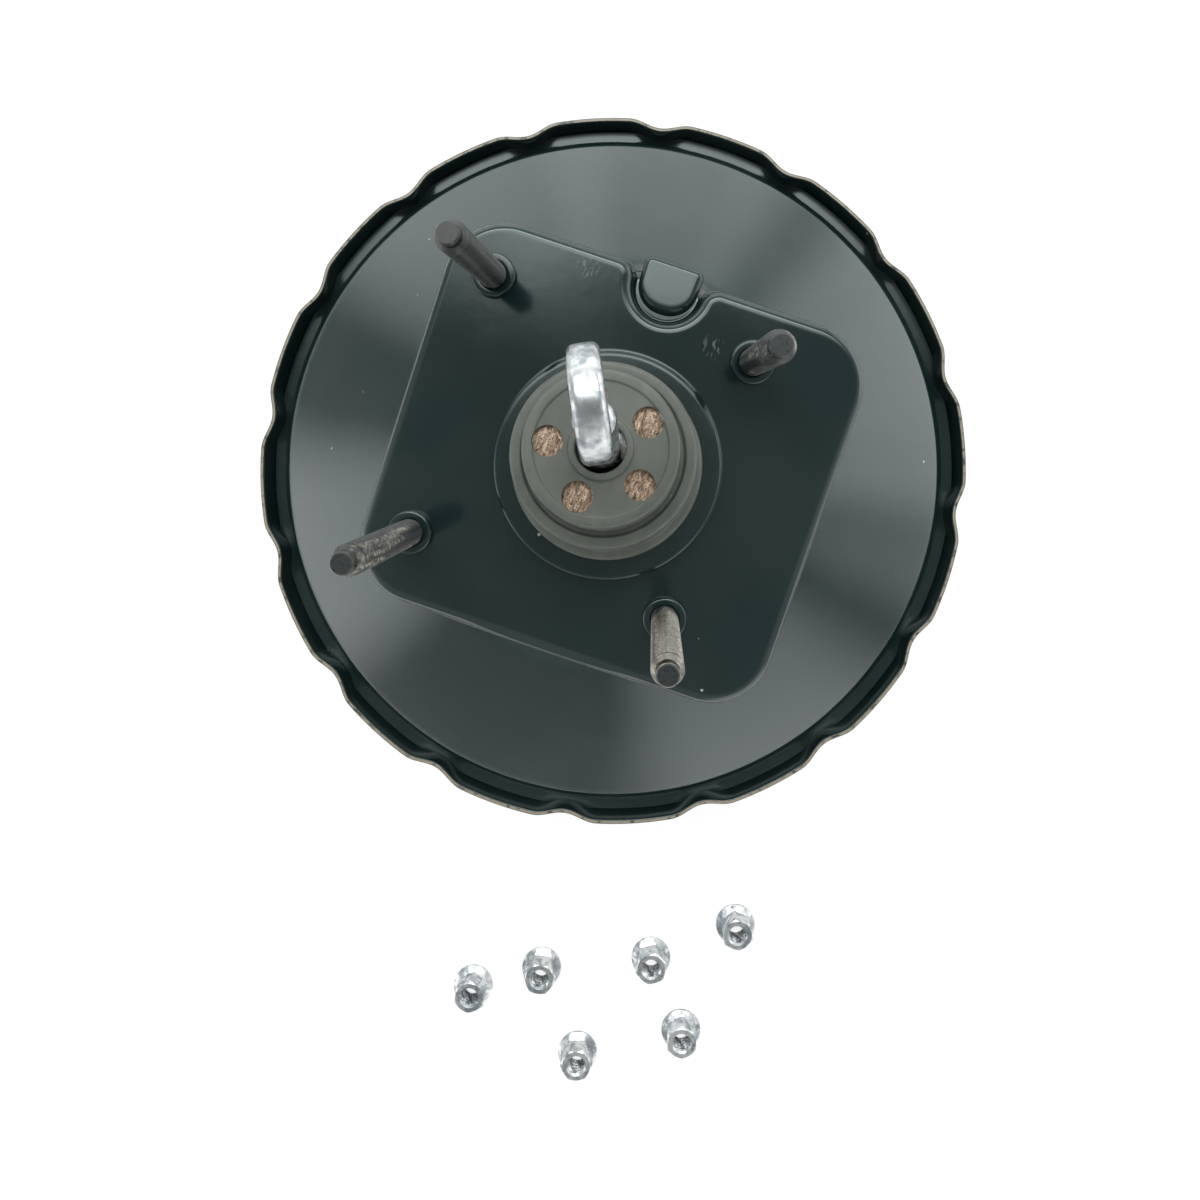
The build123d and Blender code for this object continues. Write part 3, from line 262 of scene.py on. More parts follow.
def skin(
    name: str,
    groups: Sequence[Sequence[np.ndarray]],
    loop: bool = True,
    caps: bool = False,
    sharp: float = 35.0,
) -> bpy.types.Object:
    """Skins one or more sets of rings with quads, as one object.

    Args:
        name: Name of the new object.
        groups: Sets of rings, each with equal numbers of points, in millimetres.
        loop: Joins the last ring of a set to its first, which closes a tube-like solid.
        caps: Closes the first and last ring with a fan instead.
        sharp: Angle in degrees above which an edge is shaded sharp.

    Returns:
        The new object, with outward faces and smooth shading.
    """
    points: list[np.ndarray] = []
    faces: list[tuple[int, ...]] = []
    base = 0
    for rows in groups:
        columns = len(rows[0])
        count = len(rows)
        points.extend(rows)
        for i in range(count if loop else count - 1):
            low, high = base + i * columns, base + ((i + 1) % count) * columns
            for j in range(columns):
                k = (j + 1) % columns
                faces.append((low + j, low + k, high + k, high + j))
        base += count * columns
        if caps:
            for row, start in ((rows[0], base - count * columns), (rows[-1], base - columns)):
                points.append(row.mean(axis=0)[None, :])
                faces.extend((start + j, start + (j + 1) % columns, base) for j in range(columns))
                base += 1
    mesh = bpy.data.meshes.new(name)
    mesh.from_pydata((np.concatenate(points) * MM).tolist(), [], faces)
    return new_object(name, tidy(mesh, sharp))


def tidy(mesh: bpy.types.Mesh, sharp: float) -> bpy.types.Mesh:
    """Merges doubles, points the faces outwards and sets the shading.

    Args:
        mesh: Mesh to finish in place.
        sharp: Angle in degrees above which an edge is shaded sharp.

    Returns:
        The same mesh.
    """
    work = bmesh.new()
    work.from_mesh(mesh)
    bmesh.ops.remove_doubles(work, verts=work.verts, dist=1e-6)
    bmesh.ops.recalc_face_normals(work, faces=work.faces)
    work.to_mesh(mesh)
    work.free()
    return shade(mesh, sharp)


def shade(mesh: bpy.types.Mesh, sharp: float) -> bpy.types.Mesh:
    """Shades a mesh smooth, apart from its sharp edges.

    Args:
        mesh: Mesh to shade.
        sharp: Angle in degrees above which an edge is shaded sharp.

    Returns:
        The same mesh.
    """
    mesh.shade_smooth()
    mesh.set_sharp_from_angle(angle=math.radians(sharp))
    return mesh


def mark(piece: bpy.types.Object, name: str, rule: Callable[[np.ndarray], np.ndarray]) -> None:
    """Writes a number on each point of a piece for its finish to read.

    Args:
        piece: The object.
        name: Name of the attribute.
        rule: Gives the numbers from the points, in millimetres.
    """
    count = len(piece.data.vertices)
    places = np.empty(count * 3, dtype=np.float64)
    piece.data.vertices.foreach_get("co", places)
    values = rule(places.reshape(-1, 3) / MM).astype(np.float32)
    piece.data.attributes.new(name, "FLOAT", "POINT").data.foreach_set("value", values)


def finish_modifiers(piece: bpy.types.Object) -> bpy.types.Object:
    """Turns a piece with modifiers into a plain mesh.

    Args:
        piece: The object, whose modifiers are removed.

    Returns:
        The same object with the result as its mesh.
    """
    bpy.context.view_layer.update()
    shown = piece.evaluated_get(bpy.context.evaluated_depsgraph_get())
    mesh = bpy.data.meshes.new_from_object(shown)
    piece.modifiers.clear()
    piece.data = mesh
    return piece


class NodeGraph:
    """Short-hand for the nodes of one material or world."""

    def __init__(self, tree: bpy.types.NodeTree) -> None:
        """Clears the tree that the nodes go into."""
        self.tree = tree
        tree.nodes.clear()

    def node(self, kind: str, **settings: object) -> bpy.types.Node:
        """Adds a node and sets its properties.

        Args:
            kind: Type name of the node.
            **settings: Properties to set on it, by name.

        Returns:
            The new node.
        """
        made = self.tree.nodes.new(kind)
        for key, value in settings.items():
            setattr(made, key, value)
        return made

    def feed(self, socket: bpy.types.NodeSocket, value: object) -> None:
        """Links a socket to another one, or sets it to a plain value.

        Args:
            socket: Socket that is fed.
            value: Socket to link from, plain value, or None to leave it.
        """
        if isinstance(value, bpy.types.NodeSocket):
            self.tree.links.new(value, socket)
        elif value is not None:
            socket.default_value = value

    def place(self, turn: Corner = (0.0, 0.0, 0.0), scale: Corner = (1.0, 1.0, 1.0)) -> bpy.types.NodeSocket:
        """Object coordinates, turned and stretched.

        Args:
            turn: Turn about X, Y and Z, in radians.
            scale: Stretch along X, Y and Z.

        Returns:
            The socket with the coordinates.
        """
        mapping = self.node("ShaderNodeMapping")
        self.feed(mapping.inputs["Vector"], self.node("ShaderNodeTexCoord").outputs["Object"])
        mapping.inputs["Rotation"].default_value = turn
        mapping.inputs["Scale"].default_value = scale
        return mapping.outputs["Vector"]

    def noise(self, scale: float, detail: float = 3.0, where: object = None) -> bpy.types.NodeSocket:
        """Noise of a given scale.

        Args:
            scale: Scale of the noise.
            detail: How many finer layers it has.
            where: Socket with the coordinates, or None for plain object coordinates.

        Returns:
            The socket with the value.
        """
        made = self.node("ShaderNodeTexNoise")
        self.feed(made.inputs["Vector"], where or self.place())
        made.inputs["Scale"].default_value = scale
        made.inputs["Detail"].default_value = detail
        return made.outputs["Fac"]

    def cells(self, scale: float, where: object = None) -> bpy.types.Node:
        """Cell pattern of a given scale, with its Distance and Color outputs.

        Args:
            scale: Scale of the cells.
            where: Socket with the coordinates, or None for plain object coordinates.

        Returns:
            The pattern's node.
        """
        made = self.node("ShaderNodeTexVoronoi")
        self.feed(made.inputs["Vector"], where or self.place())
        made.inputs["Scale"].default_value = scale
        return made

    def span(
        self, value: object, low: float, high: float, to_low: float = 0.0, to_high: float = 1.0
    ) -> bpy.types.NodeSocket:
        """Smooth ramp between two values.

        Args:
            value: Value or socket that runs along the ramp.
            low: Where the ramp starts.
            high: Where the ramp ends.
            to_low: Result at its start.
            to_high: Result at its end.

        Returns:
            The socket with the result.
        """
        made = self.node("ShaderNodeMapRange", interpolation_type="SMOOTHSTEP")
        for name, item in (("Value", value), ("From Min", low), ("From Max", high)):
            self.feed(made.inputs[name], item)
        made.inputs["To Min"].default_value = to_low
        made.inputs["To Max"].default_value = to_high
        return made.outputs["Result"]

    def sum(self, operation: str, a: object, b: object = None) -> bpy.types.NodeSocket:
        """One step of arithmetic.

        Args:
            operation: Name of the operation.
            a: First value or socket.
            b: Second value or socket, or None where one is enough.

        Returns:
            The socket with the result.
        """
        made = self.node("ShaderNodeMath", operation=operation)
        self.feed(made.inputs[0], a)
        self.feed(made.inputs[1], b)
        return made.outputs["Value"]

    def mix(self, share: object, a: object, b: object) -> bpy.types.NodeSocket:
        """Mix of two colours.

        Args:
            share: Share of the second colour.
            a: First colour or socket.
            b: Second colour or socket.

        Returns:
            The socket with the colour.
        """
        made = self.node("ShaderNodeMix", data_type="RGBA")
        self.feed(made.inputs[0], share)
        self.feed(made.inputs[6], a)
        self.feed(made.inputs[7], b)
        return made.outputs[2]

    def mark(self, name: str) -> bpy.types.NodeSocket:
        """The number that a piece's points carry under this name."""
        return self.node("ShaderNodeAttribute", attribute_name=name).outputs["Fac"]

    def bump(
        self, height: object, strength: float, depth: float, under: object = None
    ) -> bpy.types.NodeSocket:
        """Relief from a height, over another relief where one is given.

        Args:
            height: Value or socket with the height.
            strength: Strength of the relief.
            depth: Depth of the relief, in scene units.
            under: Socket of the relief below it, or None.

        Returns:
            The socket with the normal.
        """
        made = self.node("ShaderNodeBump")
        made.inputs["Strength"].default_value = strength
        made.inputs["Distance"].default_value = depth
        self.feed(made.inputs["Height"], height)
        self.feed(made.inputs["Normal"], under)
        return made.outputs["Normal"]


@dataclass(frozen=True)
class Finish:
    """A surface finish; subclasses add their own pattern to the shader."""

    name: str

    def material(self) -> bpy.types.Material:
        """The finish as a material, made once.

        Returns:
            The material.
        """
        found = bpy.data.materials.get(self.name)
        if found is not None:
            return found
        made = bpy.data.materials.new(self.name)
        made.use_nodes = True
        graph = NodeGraph(made.node_tree)
        shader = graph.node("ShaderNodeBsdfPrincipled")
        out = graph.node("ShaderNodeOutputMaterial")
        graph.feed(out.inputs["Surface"], shader.outputs["BSDF"])
        self.paint(graph, shader)
        return made

    def paint(self, graph: NodeGraph, shader: bpy.types.Node) -> None:
        """Feeds the shader's sockets.

        Args:
            graph: Where the nodes go.
            shader: The surface shader.
        """
        raise NotImplementedError


@dataclass(frozen=True)
class Enamel(Finish):
    """Gloss stoving enamel with dust, scuffs and bare cut edges where the piece is marked."""

    deep: Colour = (0.005, 0.012, 0.012, 1.0)
    film: Colour = (0.009, 0.017, 0.0165, 1.0)
    dust: Colour = (0.24, 0.26, 0.24, 1.0)
    bare: Colour = (0.20, 0.17, 0.125, 1.0)
    dark_bare: Colour = (0.035, 0.031, 0.025, 1.0)
    tint: Colour = (0.86, 1.0, 0.97, 1.0)
    bare_mark: str = "bare"
    scuffs: tuple[Corner, ...] = ((17.5, 41.5, 100.9), (-23.3, 52.0, 101.6))
    scuff_reach: float = 4.5
    scuff_strength: float = 0.25
    haze_scale: float = 26.0
    speck_scale: float = 170.0
    speck_size: float = 0.085
    grain_scale: float = 1300.0
    patch_scale: float = 17.0
    cut_scale: float = 420.0
    chip_scale: float = 160.0
    peel_scale: float = 240.0
    ior: float = 1.52

    def scuffed(self, graph: NodeGraph) -> bpy.types.NodeSocket:
        """How scuffed the paint is: in rare patches and near the given spots.

        Args:
            graph: Where the nodes go.

        Returns:
            The socket with the share, from 0 to 1.
        """
        patch = graph.span(graph.noise(self.patch_scale, 2.0), 0.74, 0.80)
        reach = self.scuff_reach * MM
        for spot in self.scuffs:
            gap = graph.node("ShaderNodeVectorMath", operation="DISTANCE")
            graph.feed(gap.inputs[0], graph.place())
            gap.inputs[1].default_value = [value * MM for value in spot]
            near = graph.span(gap.outputs["Value"], 0.2 * reach, reach, 1.0, 0.0)
            patch = graph.sum("MAXIMUM", patch, near)
        return patch

    def paint(self, graph: NodeGraph, shader: bpy.types.Node) -> None:
        """Feeds the shader's sockets.

        Args:
            graph: Where the nodes go.
            shader: The surface shader.
        """
        haze = graph.noise(self.haze_scale, 4.0)
        dots = graph.cells(self.speck_scale)
        pick = graph.node("ShaderNodeSeparateColor")
        graph.feed(pick.inputs["Color"], dots.outputs["Color"])
        rare = graph.span(pick.outputs["Red"], 0.90, 0.93)
        size = graph.sum("MULTIPLY", pick.outputs["Green"], self.speck_size)
        speck = graph.sum("LESS_THAN", dots.outputs["Distance"], size)
        speck = graph.sum("MULTIPLY", speck, rare)
        grain = graph.noise(self.grain_scale, 4.0, graph.place((0.0, 0.0, 0.7), (1.0, 0.35, 1.0)))
        scuff = graph.sum("MULTIPLY", graph.span(grain, 0.53, 0.63), self.scuffed(graph))
        dirt = graph.sum("MAXIMUM", speck, graph.sum("MULTIPLY", scuff, self.scuff_strength))
        coat = graph.mix(graph.span(haze, 0.35, 0.7), self.deep, self.film)
        coat = graph.mix(dirt, coat, self.dust)
        cut = graph.noise(self.cut_scale, 4.0)
        metal = graph.mix(graph.span(cut, 0.50, 0.68), self.bare, self.dark_bare)
        ragged = graph.sum("MULTIPLY", graph.noise(self.chip_scale), 0.5)
        chip = graph.sum("ADD", graph.mark(self.bare_mark), ragged)
        edge = graph.span(chip, 0.72, 0.86)
        graph.feed(shader.inputs["Base Color"], graph.mix(edge, coat, metal))
        shine = graph.span(haze, 0.3, 0.75, 0.10, 0.17)
        shine = graph.sum("ADD", shine, graph.sum("MULTIPLY", dirt, 0.5))
        graph.feed(shader.inputs["Roughness"], graph.sum("ADD", shine, graph.sum("MULTIPLY", edge, 0.35)))
        shader.inputs["IOR"].default_value = self.ior
        shader.inputs["Specular Tint"].default_value = self.tint
        peel = graph.bump(graph.noise(self.peel_scale, 2.0), 0.10, 0.0002)
        graph.feed(shader.inputs["Normal"], graph.bump(dirt, 0.2, 0.0001, peel))


@dataclass(frozen=True)
class Rubber(Finish):
    """Matt moulded rubber with bloom, dust and fine grain."""

    deep: Colour = (0.050, 0.060, 0.050, 1.0)
    bloom: Colour = (0.078, 0.089, 0.074, 1.0)
    rough: float = 0.48
    grain: float = 1500.0
    dust: Colour = (0.30, 0.30, 0.27, 1.0)
    cloud_scale: float = 70.0
    streak_scale: float = 300.0
    dust_scale: float = 420.0

    def paint(self, graph: NodeGraph, shader: bpy.types.Node) -> None:
        """Feeds the shader's sockets.

        Args:
            graph: Where the nodes go.
            shader: The surface shader.
        """
        cloud = graph.noise(self.cloud_scale, 5.0)
        fine = graph.noise(self.grain, 3.0)
        streak = graph.noise(self.streak_scale, 3.0, graph.place((0.0, 0.0, 0.3), (1.0, 0.15, 1.0)))
        share = graph.sum("ADD", graph.sum("MULTIPLY", cloud, 0.7), graph.sum("MULTIPLY", streak, 0.3))
        colour = graph.mix(graph.span(share, 0.35, 0.65), self.deep, self.bloom)
        dots = graph.cells(self.dust_scale)
        dust = graph.span(dots.outputs["Distance"], 0.10, 0.02)
        pick = graph.node("ShaderNodeSeparateColor")
        graph.feed(pick.inputs["Color"], dots.outputs["Color"])
        dust = graph.sum("MULTIPLY", dust, graph.span(pick.outputs["Blue"], 0.93, 0.95))
        graph.feed(shader.inputs["Base Color"], graph.mix(dust, colour, self.dust))
        rough = graph.span(cloud, 0.3, 0.7, self.rough - 0.06, self.rough + 0.1)
        graph.feed(shader.inputs["Roughness"], rough)
        graph.feed(shader.inputs["Normal"], graph.bump(fine, 0.25, 0.0001))


@dataclass(frozen=True)
class Fibre(Finish):
    """Pressed felt or open foam: a matted pattern of short light and dark strands."""

    light: Colour = (0.40, 0.29, 0.20, 1.0)
    dark: Colour = (0.07, 0.045, 0.03, 1.0)
    scale: float = 1900.0

    def paint(self, graph: NodeGraph, shader: bpy.types.Node) -> None:
        """Feeds the shader's sockets.

        Args:
            graph: Where the nodes go.
            shader: The surface shader.
        """
        one = graph.noise(self.scale, 4.0, graph.place((0.0, 0.0, 0.5), (1.0, 0.35, 1.0)))
        two = graph.noise(self.scale, 4.0, graph.place((0.0, 0.0, 2.1), (1.0, 0.35, 1.0)))
        mat = graph.sum("MULTIPLY", graph.sum("ADD", one, two), 0.5)
        colour = graph.mix(graph.span(mat, 0.38, 0.62), self.dark, self.light)
        graph.feed(shader.inputs["Base Color"], colour)
        graph.feed(shader.inputs["Roughness"], graph.span(mat, 0.3, 0.7, 0.85, 0.98))
        shader.inputs["Sheen Weight"].default_value = 0.15
        graph.feed(shader.inputs["Normal"], graph.bump(mat, 0.7, 0.0004))


@dataclass(frozen=True)
class Plated(Finish):
    """Bare or plated metal with clouded brightness, fine tool marks and dull patches."""

    bright: Colour = (0.52, 0.54, 0.54, 1.0)
    dull: Colour = (0.24, 0.27, 0.29, 1.0)
    rough: float = 0.22
    spread: float = 0.20
    mottle: float = 560.0
    relief: float = 0.16

    def paint(self, graph: NodeGraph, shader: bpy.types.Node) -> None:
        """Feeds the shader's sockets.

        Args:
            graph: Where the nodes go.
            shader: The surface shader.
        """
        cloud = graph.noise(self.mottle, 5.0)
        broad = graph.noise(self.mottle * 0.2, 2.0)
        share = graph.span(graph.sum("ADD", cloud, broad), 0.85, 1.2)
        graph.feed(shader.inputs["Base Color"], graph.mix(share, self.bright, self.dull))
        shader.inputs["Metallic"].default_value = 1.0
        rough = graph.span(cloud, 0.35, 0.7, self.rough, self.rough + self.spread)
        graph.feed(shader.inputs["Roughness"], rough)
        graph.feed(shader.inputs["Normal"], graph.bump(broad, self.relief, 0.0006))


@dataclass(frozen=True)
class WornThread(Finish):
    """Steel thread that keeps part of its black coating, more of it where the piece is marked."""

    steel: Colour = (0.21, 0.205, 0.18, 1.0)
    dull_steel: Colour = (0.13, 0.125, 0.11, 1.0)
    black: Colour = (0.012, 0.016, 0.016, 1.0)
    coat_mark: str = "coat"
    streak_scale: float = 230.0
    fleck_scale: float = 1100.0

    def paint(self, graph: NodeGraph, shader: bpy.types.Node) -> None:
        """Feeds the shader's sockets.

        Args:
            graph: Where the nodes go.
            shader: The surface shader.
        """
        streak = graph.noise(self.streak_scale, 4.0, graph.place(scale=(1.0, 1.0, 0.12)))
        fleck = graph.noise(self.fleck_scale, 3.0)
        left = graph.sum("ADD", graph.mark(self.coat_mark), graph.sum("MULTIPLY", streak, 0.8))
        left = graph.sum("ADD", left, graph.sum("MULTIPLY", fleck, 0.25))
        share = graph.span(left, 0.92, 1.06)
        steel = graph.mix(graph.span(fleck, 0.35, 0.7), self.steel, self.dull_steel)
        graph.feed(shader.inputs["Base Color"], graph.mix(share, steel, self.black))
        graph.feed(shader.inputs["Metallic"], graph.sum("SUBTRACT", 1.0, share))
        graph.feed(shader.inputs["Roughness"], graph.span(fleck, 0.3, 0.7, 0.24, 0.42))
        graph.feed(shader.inputs["Normal"], graph.bump(fleck, 0.15, 0.0001))


@dataclass(frozen=True)
class Moulding(Finish):
    """Moulded resin or nylon with a faint flow pattern and a fine skin."""

    light: Colour = (0.050, 0.046, 0.042, 1.0)
    dark: Colour = (0.030, 0.027, 0.025, 1.0)
    rough: float = 0.42
    flow_scale: float = 90.0
    grain_scale: float = 1800.0

    def paint(self, graph: NodeGraph, shader: bpy.types.Node) -> None:
        """Feeds the shader's sockets.

        Args:
            graph: Where the nodes go.
            shader: The surface shader.
        """
        flow = graph.noise(self.flow_scale, 5.0, graph.place((0.3, 0.2, 0.5), (1.0, 0.4, 1.0)))
        skin_grain = graph.noise(self.grain_scale, 2.0)
        graph.feed(shader.inputs["Base Color"], graph.mix(graph.span(flow, 0.3, 0.7), self.dark, self.light))
        rough = graph.span(flow, 0.3, 0.7, self.rough - 0.07, self.rough + 0.09)
        graph.feed(shader.inputs["Roughness"], rough)
        graph.feed(shader.inputs["Normal"], graph.bump(skin_grain, 0.12, 0.0001))


class Finishes:
    """Every finish of the booster, by the material slot of the record that it serves."""

    shell_paint = Enamel("gloss_enamel")
    boot_rubber = Rubber("matt_boot_rubber")
    seal_rubber = Rubber(
        "black_seal_rubber", (0.018, 0.018, 0.018, 1.0), (0.04, 0.04, 0.038, 1.0), 0.5, 2200.0
    )
    felt = Fibre("pressed_felt")
    felt_strand = Fibre("felt_strand", (0.74, 0.58, 0.43, 1.0), (0.13, 0.08, 0.05, 1.0), 1300.0)
    foam = Fibre("open_foam", (0.10, 0.10, 0.10, 1.0), (0.02, 0.02, 0.02, 1.0), 700.0)
    zinc_plate = Plated("bright_zinc")
    stud_steel = WornThread("worn_thread")
    plate_steel = Plated(
        "pressed_steel", (0.52, 0.52, 0.50, 1.0), (0.33, 0.33, 0.32, 1.0), 0.30, 0.2, 160.0
    )
    machined_steel = Plated(
        "turned_steel", (0.62, 0.62, 0.62, 1.0), (0.45, 0.45, 0.45, 1.0), 0.2, 0.12, 300.0
    )
    spring_steel = Plated(
        "spring_wire", (0.32, 0.32, 0.33, 1.0), (0.17, 0.17, 0.17, 1.0), 0.32, 0.2, 250.0
    )
    piston_resin = Moulding("phenolic_resin", (0.085, 0.065, 0.05, 1.0), (0.05, 0.038, 0.03, 1.0))
    bearing_resin = Moulding("bearing_nylon", (0.66, 0.63, 0.55, 1.0), (0.55, 0.52, 0.45, 1.0))
    valve_nylon = Moulding("black_nylon", (0.034, 0.034, 0.036, 1.0), (0.02, 0.02, 0.021, 1.0), 0.36)

    @classmethod
    def of(cls, slot: str) -> Finish:
        """The finish that serves a material slot."""
        return getattr(cls, slot)


def dress(piece: bpy.types.Object, slot: str) -> bpy.types.Object:
    """Gives a piece the finish of a material slot, as its only material.

    Args:
        piece: The object.
        slot: Name of the record's material slot.

    Returns:
        The same object.
    """
    piece.data.materials.clear()
    piece.data.materials.append(Finishes.of(slot).material())
    LOG.info("dressed %s in %s", piece.name, slot)
    return piece


def stand_for(piece: bpy.types.Object, slot: str, body: Body, *nodes: str) -> bpy.types.Object:
    """Dresses a piece, rides it on its body and lets it stand for its nodes.

    Args:
        piece: The object.
        slot: Name of the record's material slot.
        body: Body that it rides on.
        *nodes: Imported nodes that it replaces.

    Returns:
        The same object.
    """
    dress(piece, slot)
    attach(piece, body.value)
    if nodes:
        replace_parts(piece, *nodes)
    return piece


@dataclass
class RearShell:
    """The conical rear shell with its inclined platform, bay, boss, hub and neck."""

    half_u: float = 63.0
    half_v: float = 57.3
    corner: float = 18.0
    draft: float = 12.0
    edge: float = 3.4
    bay_r: float = 11.0
    bay_in: float = 3.0
    mouth: float = 5.0
    boss_low: float = -10.6
    boss_high: float = 5.0
    boss_half: float = 8.6
    boss_wide: float = 9.2
    boss_bend: float = 8.3
    boss_corner: float = 2.6
    boss_foot_z: float = 84.0
    boss_top_z: float = 99.0
    boss_round: float = 2.2
    hub_r: float = 32.2
    hub_round: float = 1.0
    neck_r: float = 21.5
    neck_low_z: float = 84.0
    neck_round: float = 1.4
    shoulder_r: float = 114.0
    shoulder_z: float = 61.0
    shoulder_round: float = 5.0
    cone: float = 30.0
    cone_top_z: float = 93.5
    flange_r: float = 120.35
    flange_rise: float = 0.33
    channel_round: float = 3.0
    bay_swell: float = 3.2
    swell_near: float = 9.0
    swell_far: float = 14.0
    top_blend: float = 4.0
    hub_columns: int = 240
    foot: float = 3.4
    guard: float = 0.5
    sharp: float = 50.0

    def outline(self) -> tuple[np.ndarray, np.ndarray]:
        """Outline of the platform.

        Returns:
            Its points along and up the platform, and the outward normal at each.
        """
        a, b, c = self.half_u, self.half_v, self.corner
        points: list[tuple[float, float]] = []
        normals: list[tuple[float, float]] = []

        def arc(
            x: float, y: float, r: float, start: float, end: float, steps: int, side: float = 1.0
        ) -> None:
            """Adds an arc without its last point.

            Args:
                x: Middle of the arc, along the platform.
                y: Middle of the arc, up the platform.
                r: Radius.
                start: First angle, in degrees.
                end: Last angle, in degrees.
                steps: Number of points.
                side: 1 where the normals point away from the middle, -1 where they point to it.
            """
            for turn in np.radians(np.linspace(start, end, steps, endpoint=False)):
                points.append((x + r * math.cos(turn), y + r * math.sin(turn)))
                normals.append((side * math.cos(turn), side * math.sin(turn)))

        def run(x0: float, y0: float, x1: float, y1: float, nx: float, ny: float, steps: int) -> None:
            """Adds a straight run without its last point.

            Args:
                x0: Start, along the platform.
                y0: Start, up the platform.
                x1: End, along the platform.
                y1: End, up the platform.
                nx: Outward normal, along the platform.
                ny: Outward normal, up the platform.
                steps: Number of points.
            """
            for t in np.linspace(0.0, 1.0, steps, endpoint=False):
                points.append((x0 + t * (x1 - x0), y0 + t * (y1 - y0)))
                normals.append((nx, ny))

        reach = self.bay_r + self.mouth
        rise = self.mouth - self.bay_in
        side = math.sqrt(reach**2 - rise**2)
        dip = math.degrees(math.asin(rise / reach))
        run(a, c - b, a, b - c, 1.0, 0.0, 26)
        arc(a - c, b - c, c, 0.0, 90.0, 26)
        run(a - c, b, side, b, 0.0, 1.0, 12)
        arc(side, b - self.mouth, self.mouth, 90.0, 180.0 - dip, 18)
        arc(0.0, b - self.bay_in, self.bay_r, -dip, dip - 180.0, 46, -1.0)
        arc(-side, b - self.mouth, self.mouth, dip, 90.0, 18)
        run(-side, b, c - a, b, 0.0, 1.0, 12)
        arc(c - a, b - c, c, 90.0, 180.0, 26)
        run(-a, b - c, -a, c - b, -1.0, 0.0, 26)
        arc(c - a, c - b, c, 180.0, 270.0, 26)
        run(c - a, -b, a - c, -b, 0.0, -1.0, 36)
        arc(a - c, c - b, c, 270.0, 360.0, 26)
        return np.array(points), np.array(normals)

    def cone_z(self, x: np.ndarray, y: np.ndarray) -> np.ndarray:
        """Height of the conical body, with its soft flat top.

        Args:
            x: First coordinate of the points.
            y: Second coordinate of the points.

        Returns:
            The heights.
        """
        slope = math.tan(math.radians(self.cone))
        raw = self.shoulder_z + (self.shoulder_r - np.hypot(x, y)) * slope
        from_bay = np.hypot(x, y - self.half_v + self.bay_in)
        swell = 1.0 - smooth_step(self.swell_near, self.swell_far, from_bay)
        swell *= 1.0 - smooth_step(self.half_v - 2.0, self.half_v + 3.5, y)
        return self.bay_swell * swell - soft_max(-raw, np.full_like(raw, -self.cone_top_z), self.top_blend)

    def hub_rows(self) -> list[np.ndarray]:
        """Rings of the neck and hub, from the foot of the neck to the flat of the platform.

        Returns:
            The rings.
        """
        turn = np.linspace(0.0, 2 * math.pi, self.hub_columns, endpoint=False)
        ways = np.stack([np.cos(turn), np.sin(turn)], axis=1)
        rows: list[np.ndarray] = []

        def ring(r: float, z: object) -> None:
            """Adds a ring about the booster axis."""
            flat = ways * r
            rows.append(np.column_stack([flat, np.broadcast_to(z, len(flat))]))

        top, bend = DATUM.hub_top_z, self.hub_round
        ring(self.neck_r, self.neck_low_z)
        ring(self.neck_r, top - self.neck_round - self.guard)
        quarter = np.radians(np.linspace(0.0, 90.0, 6))
        for t in quarter:
            ring(self.neck_r + self.neck_round * (1 - math.cos(t)), top - self.neck_round * (1 - math.sin(t)))
        ring(self.neck_r + self.neck_round + self.guard, top)
        ring(self.hub_r - bend - self.guard, top)
        for t in quarter:
            ring(self.hub_r - bend * (1 - math.sin(t)), top - bend * (1 - math.cos(t)))
        base_r = self.hub_r + bend
        base_z = DATUM.plane_z(ways[:, 1] * base_r)
        for t in quarter:
            ring(self.hub_r + bend * (1 - math.cos(t)), base_z + bend * (1 - math.sin(t)))
        flat_r = base_r + self.guard
        ring(flat_r, DATUM.plane_z(ways[:, 1] * flat_r))
        return rows

    def edge_section(self) -> list[tuple[float, float]]:
        """Section of the platform's rounded edge and wall, as steps outwards from its outline and up.

        Returns:
            Pairs of a step outwards and a step up.
        """
        steep = math.radians(90.0 - self.draft)
        cut = self.edge * math.tan(steep / 2)
        section = [(-cut - 2 * self.guard, 0.0), (-cut - self.guard, 0.0)]
        for t in np.linspace(0.0, steep, 10):
            section.append((self.edge * math.sin(t) - cut, self.edge * (math.cos(t) - 1)))
        for d in np.concatenate([np.linspace(0.6, 4.8, 22), [5.2, 5.8, 6.6]]):
            section.append((d, -d / math.tan(math.radians(self.draft))))
        return section

    def rim_section(self) -> list[tuple[float, float]]:
        """Section of the round shoulder and the channel floor, as radii and heights.

        Returns:
            Pairs of a radius and a height.
        """
        bend = self.shoulder_round
        middle_r = self.shoulder_r - bend
        middle_z = self.shoulder_z - self.shoulder_reach
        section: list[tuple[float, float]] = []
        for t in np.radians(np.linspace(90.0 - self.cone, 0.0, 9)[1:]):
            section.append((middle_r + bend * math.cos(t), middle_z + bend * math.sin(t)))
        low, bend = DATUM.flange_top_z, self.channel_round
        floor_r = self.shoulder_r + bend
        for t in np.linspace(0.0, math.pi / 2, 9):
            section.append((floor_r - bend * math.cos(t), low + bend * (1 - math.sin(t))))
        for t in np.linspace(0.0, 1.0, 8)[1:]:
            section.append((floor_r + t * (self.flange_r - floor_r), low + self.flange_rise * t * t))
        return section

    @property
    def shoulder_reach(self) -> float:
        """Distance from the shoulder's corner to where its round starts."""
        return self.shoulder_round * math.tan(math.radians(90.0 - self.cone) / 2)

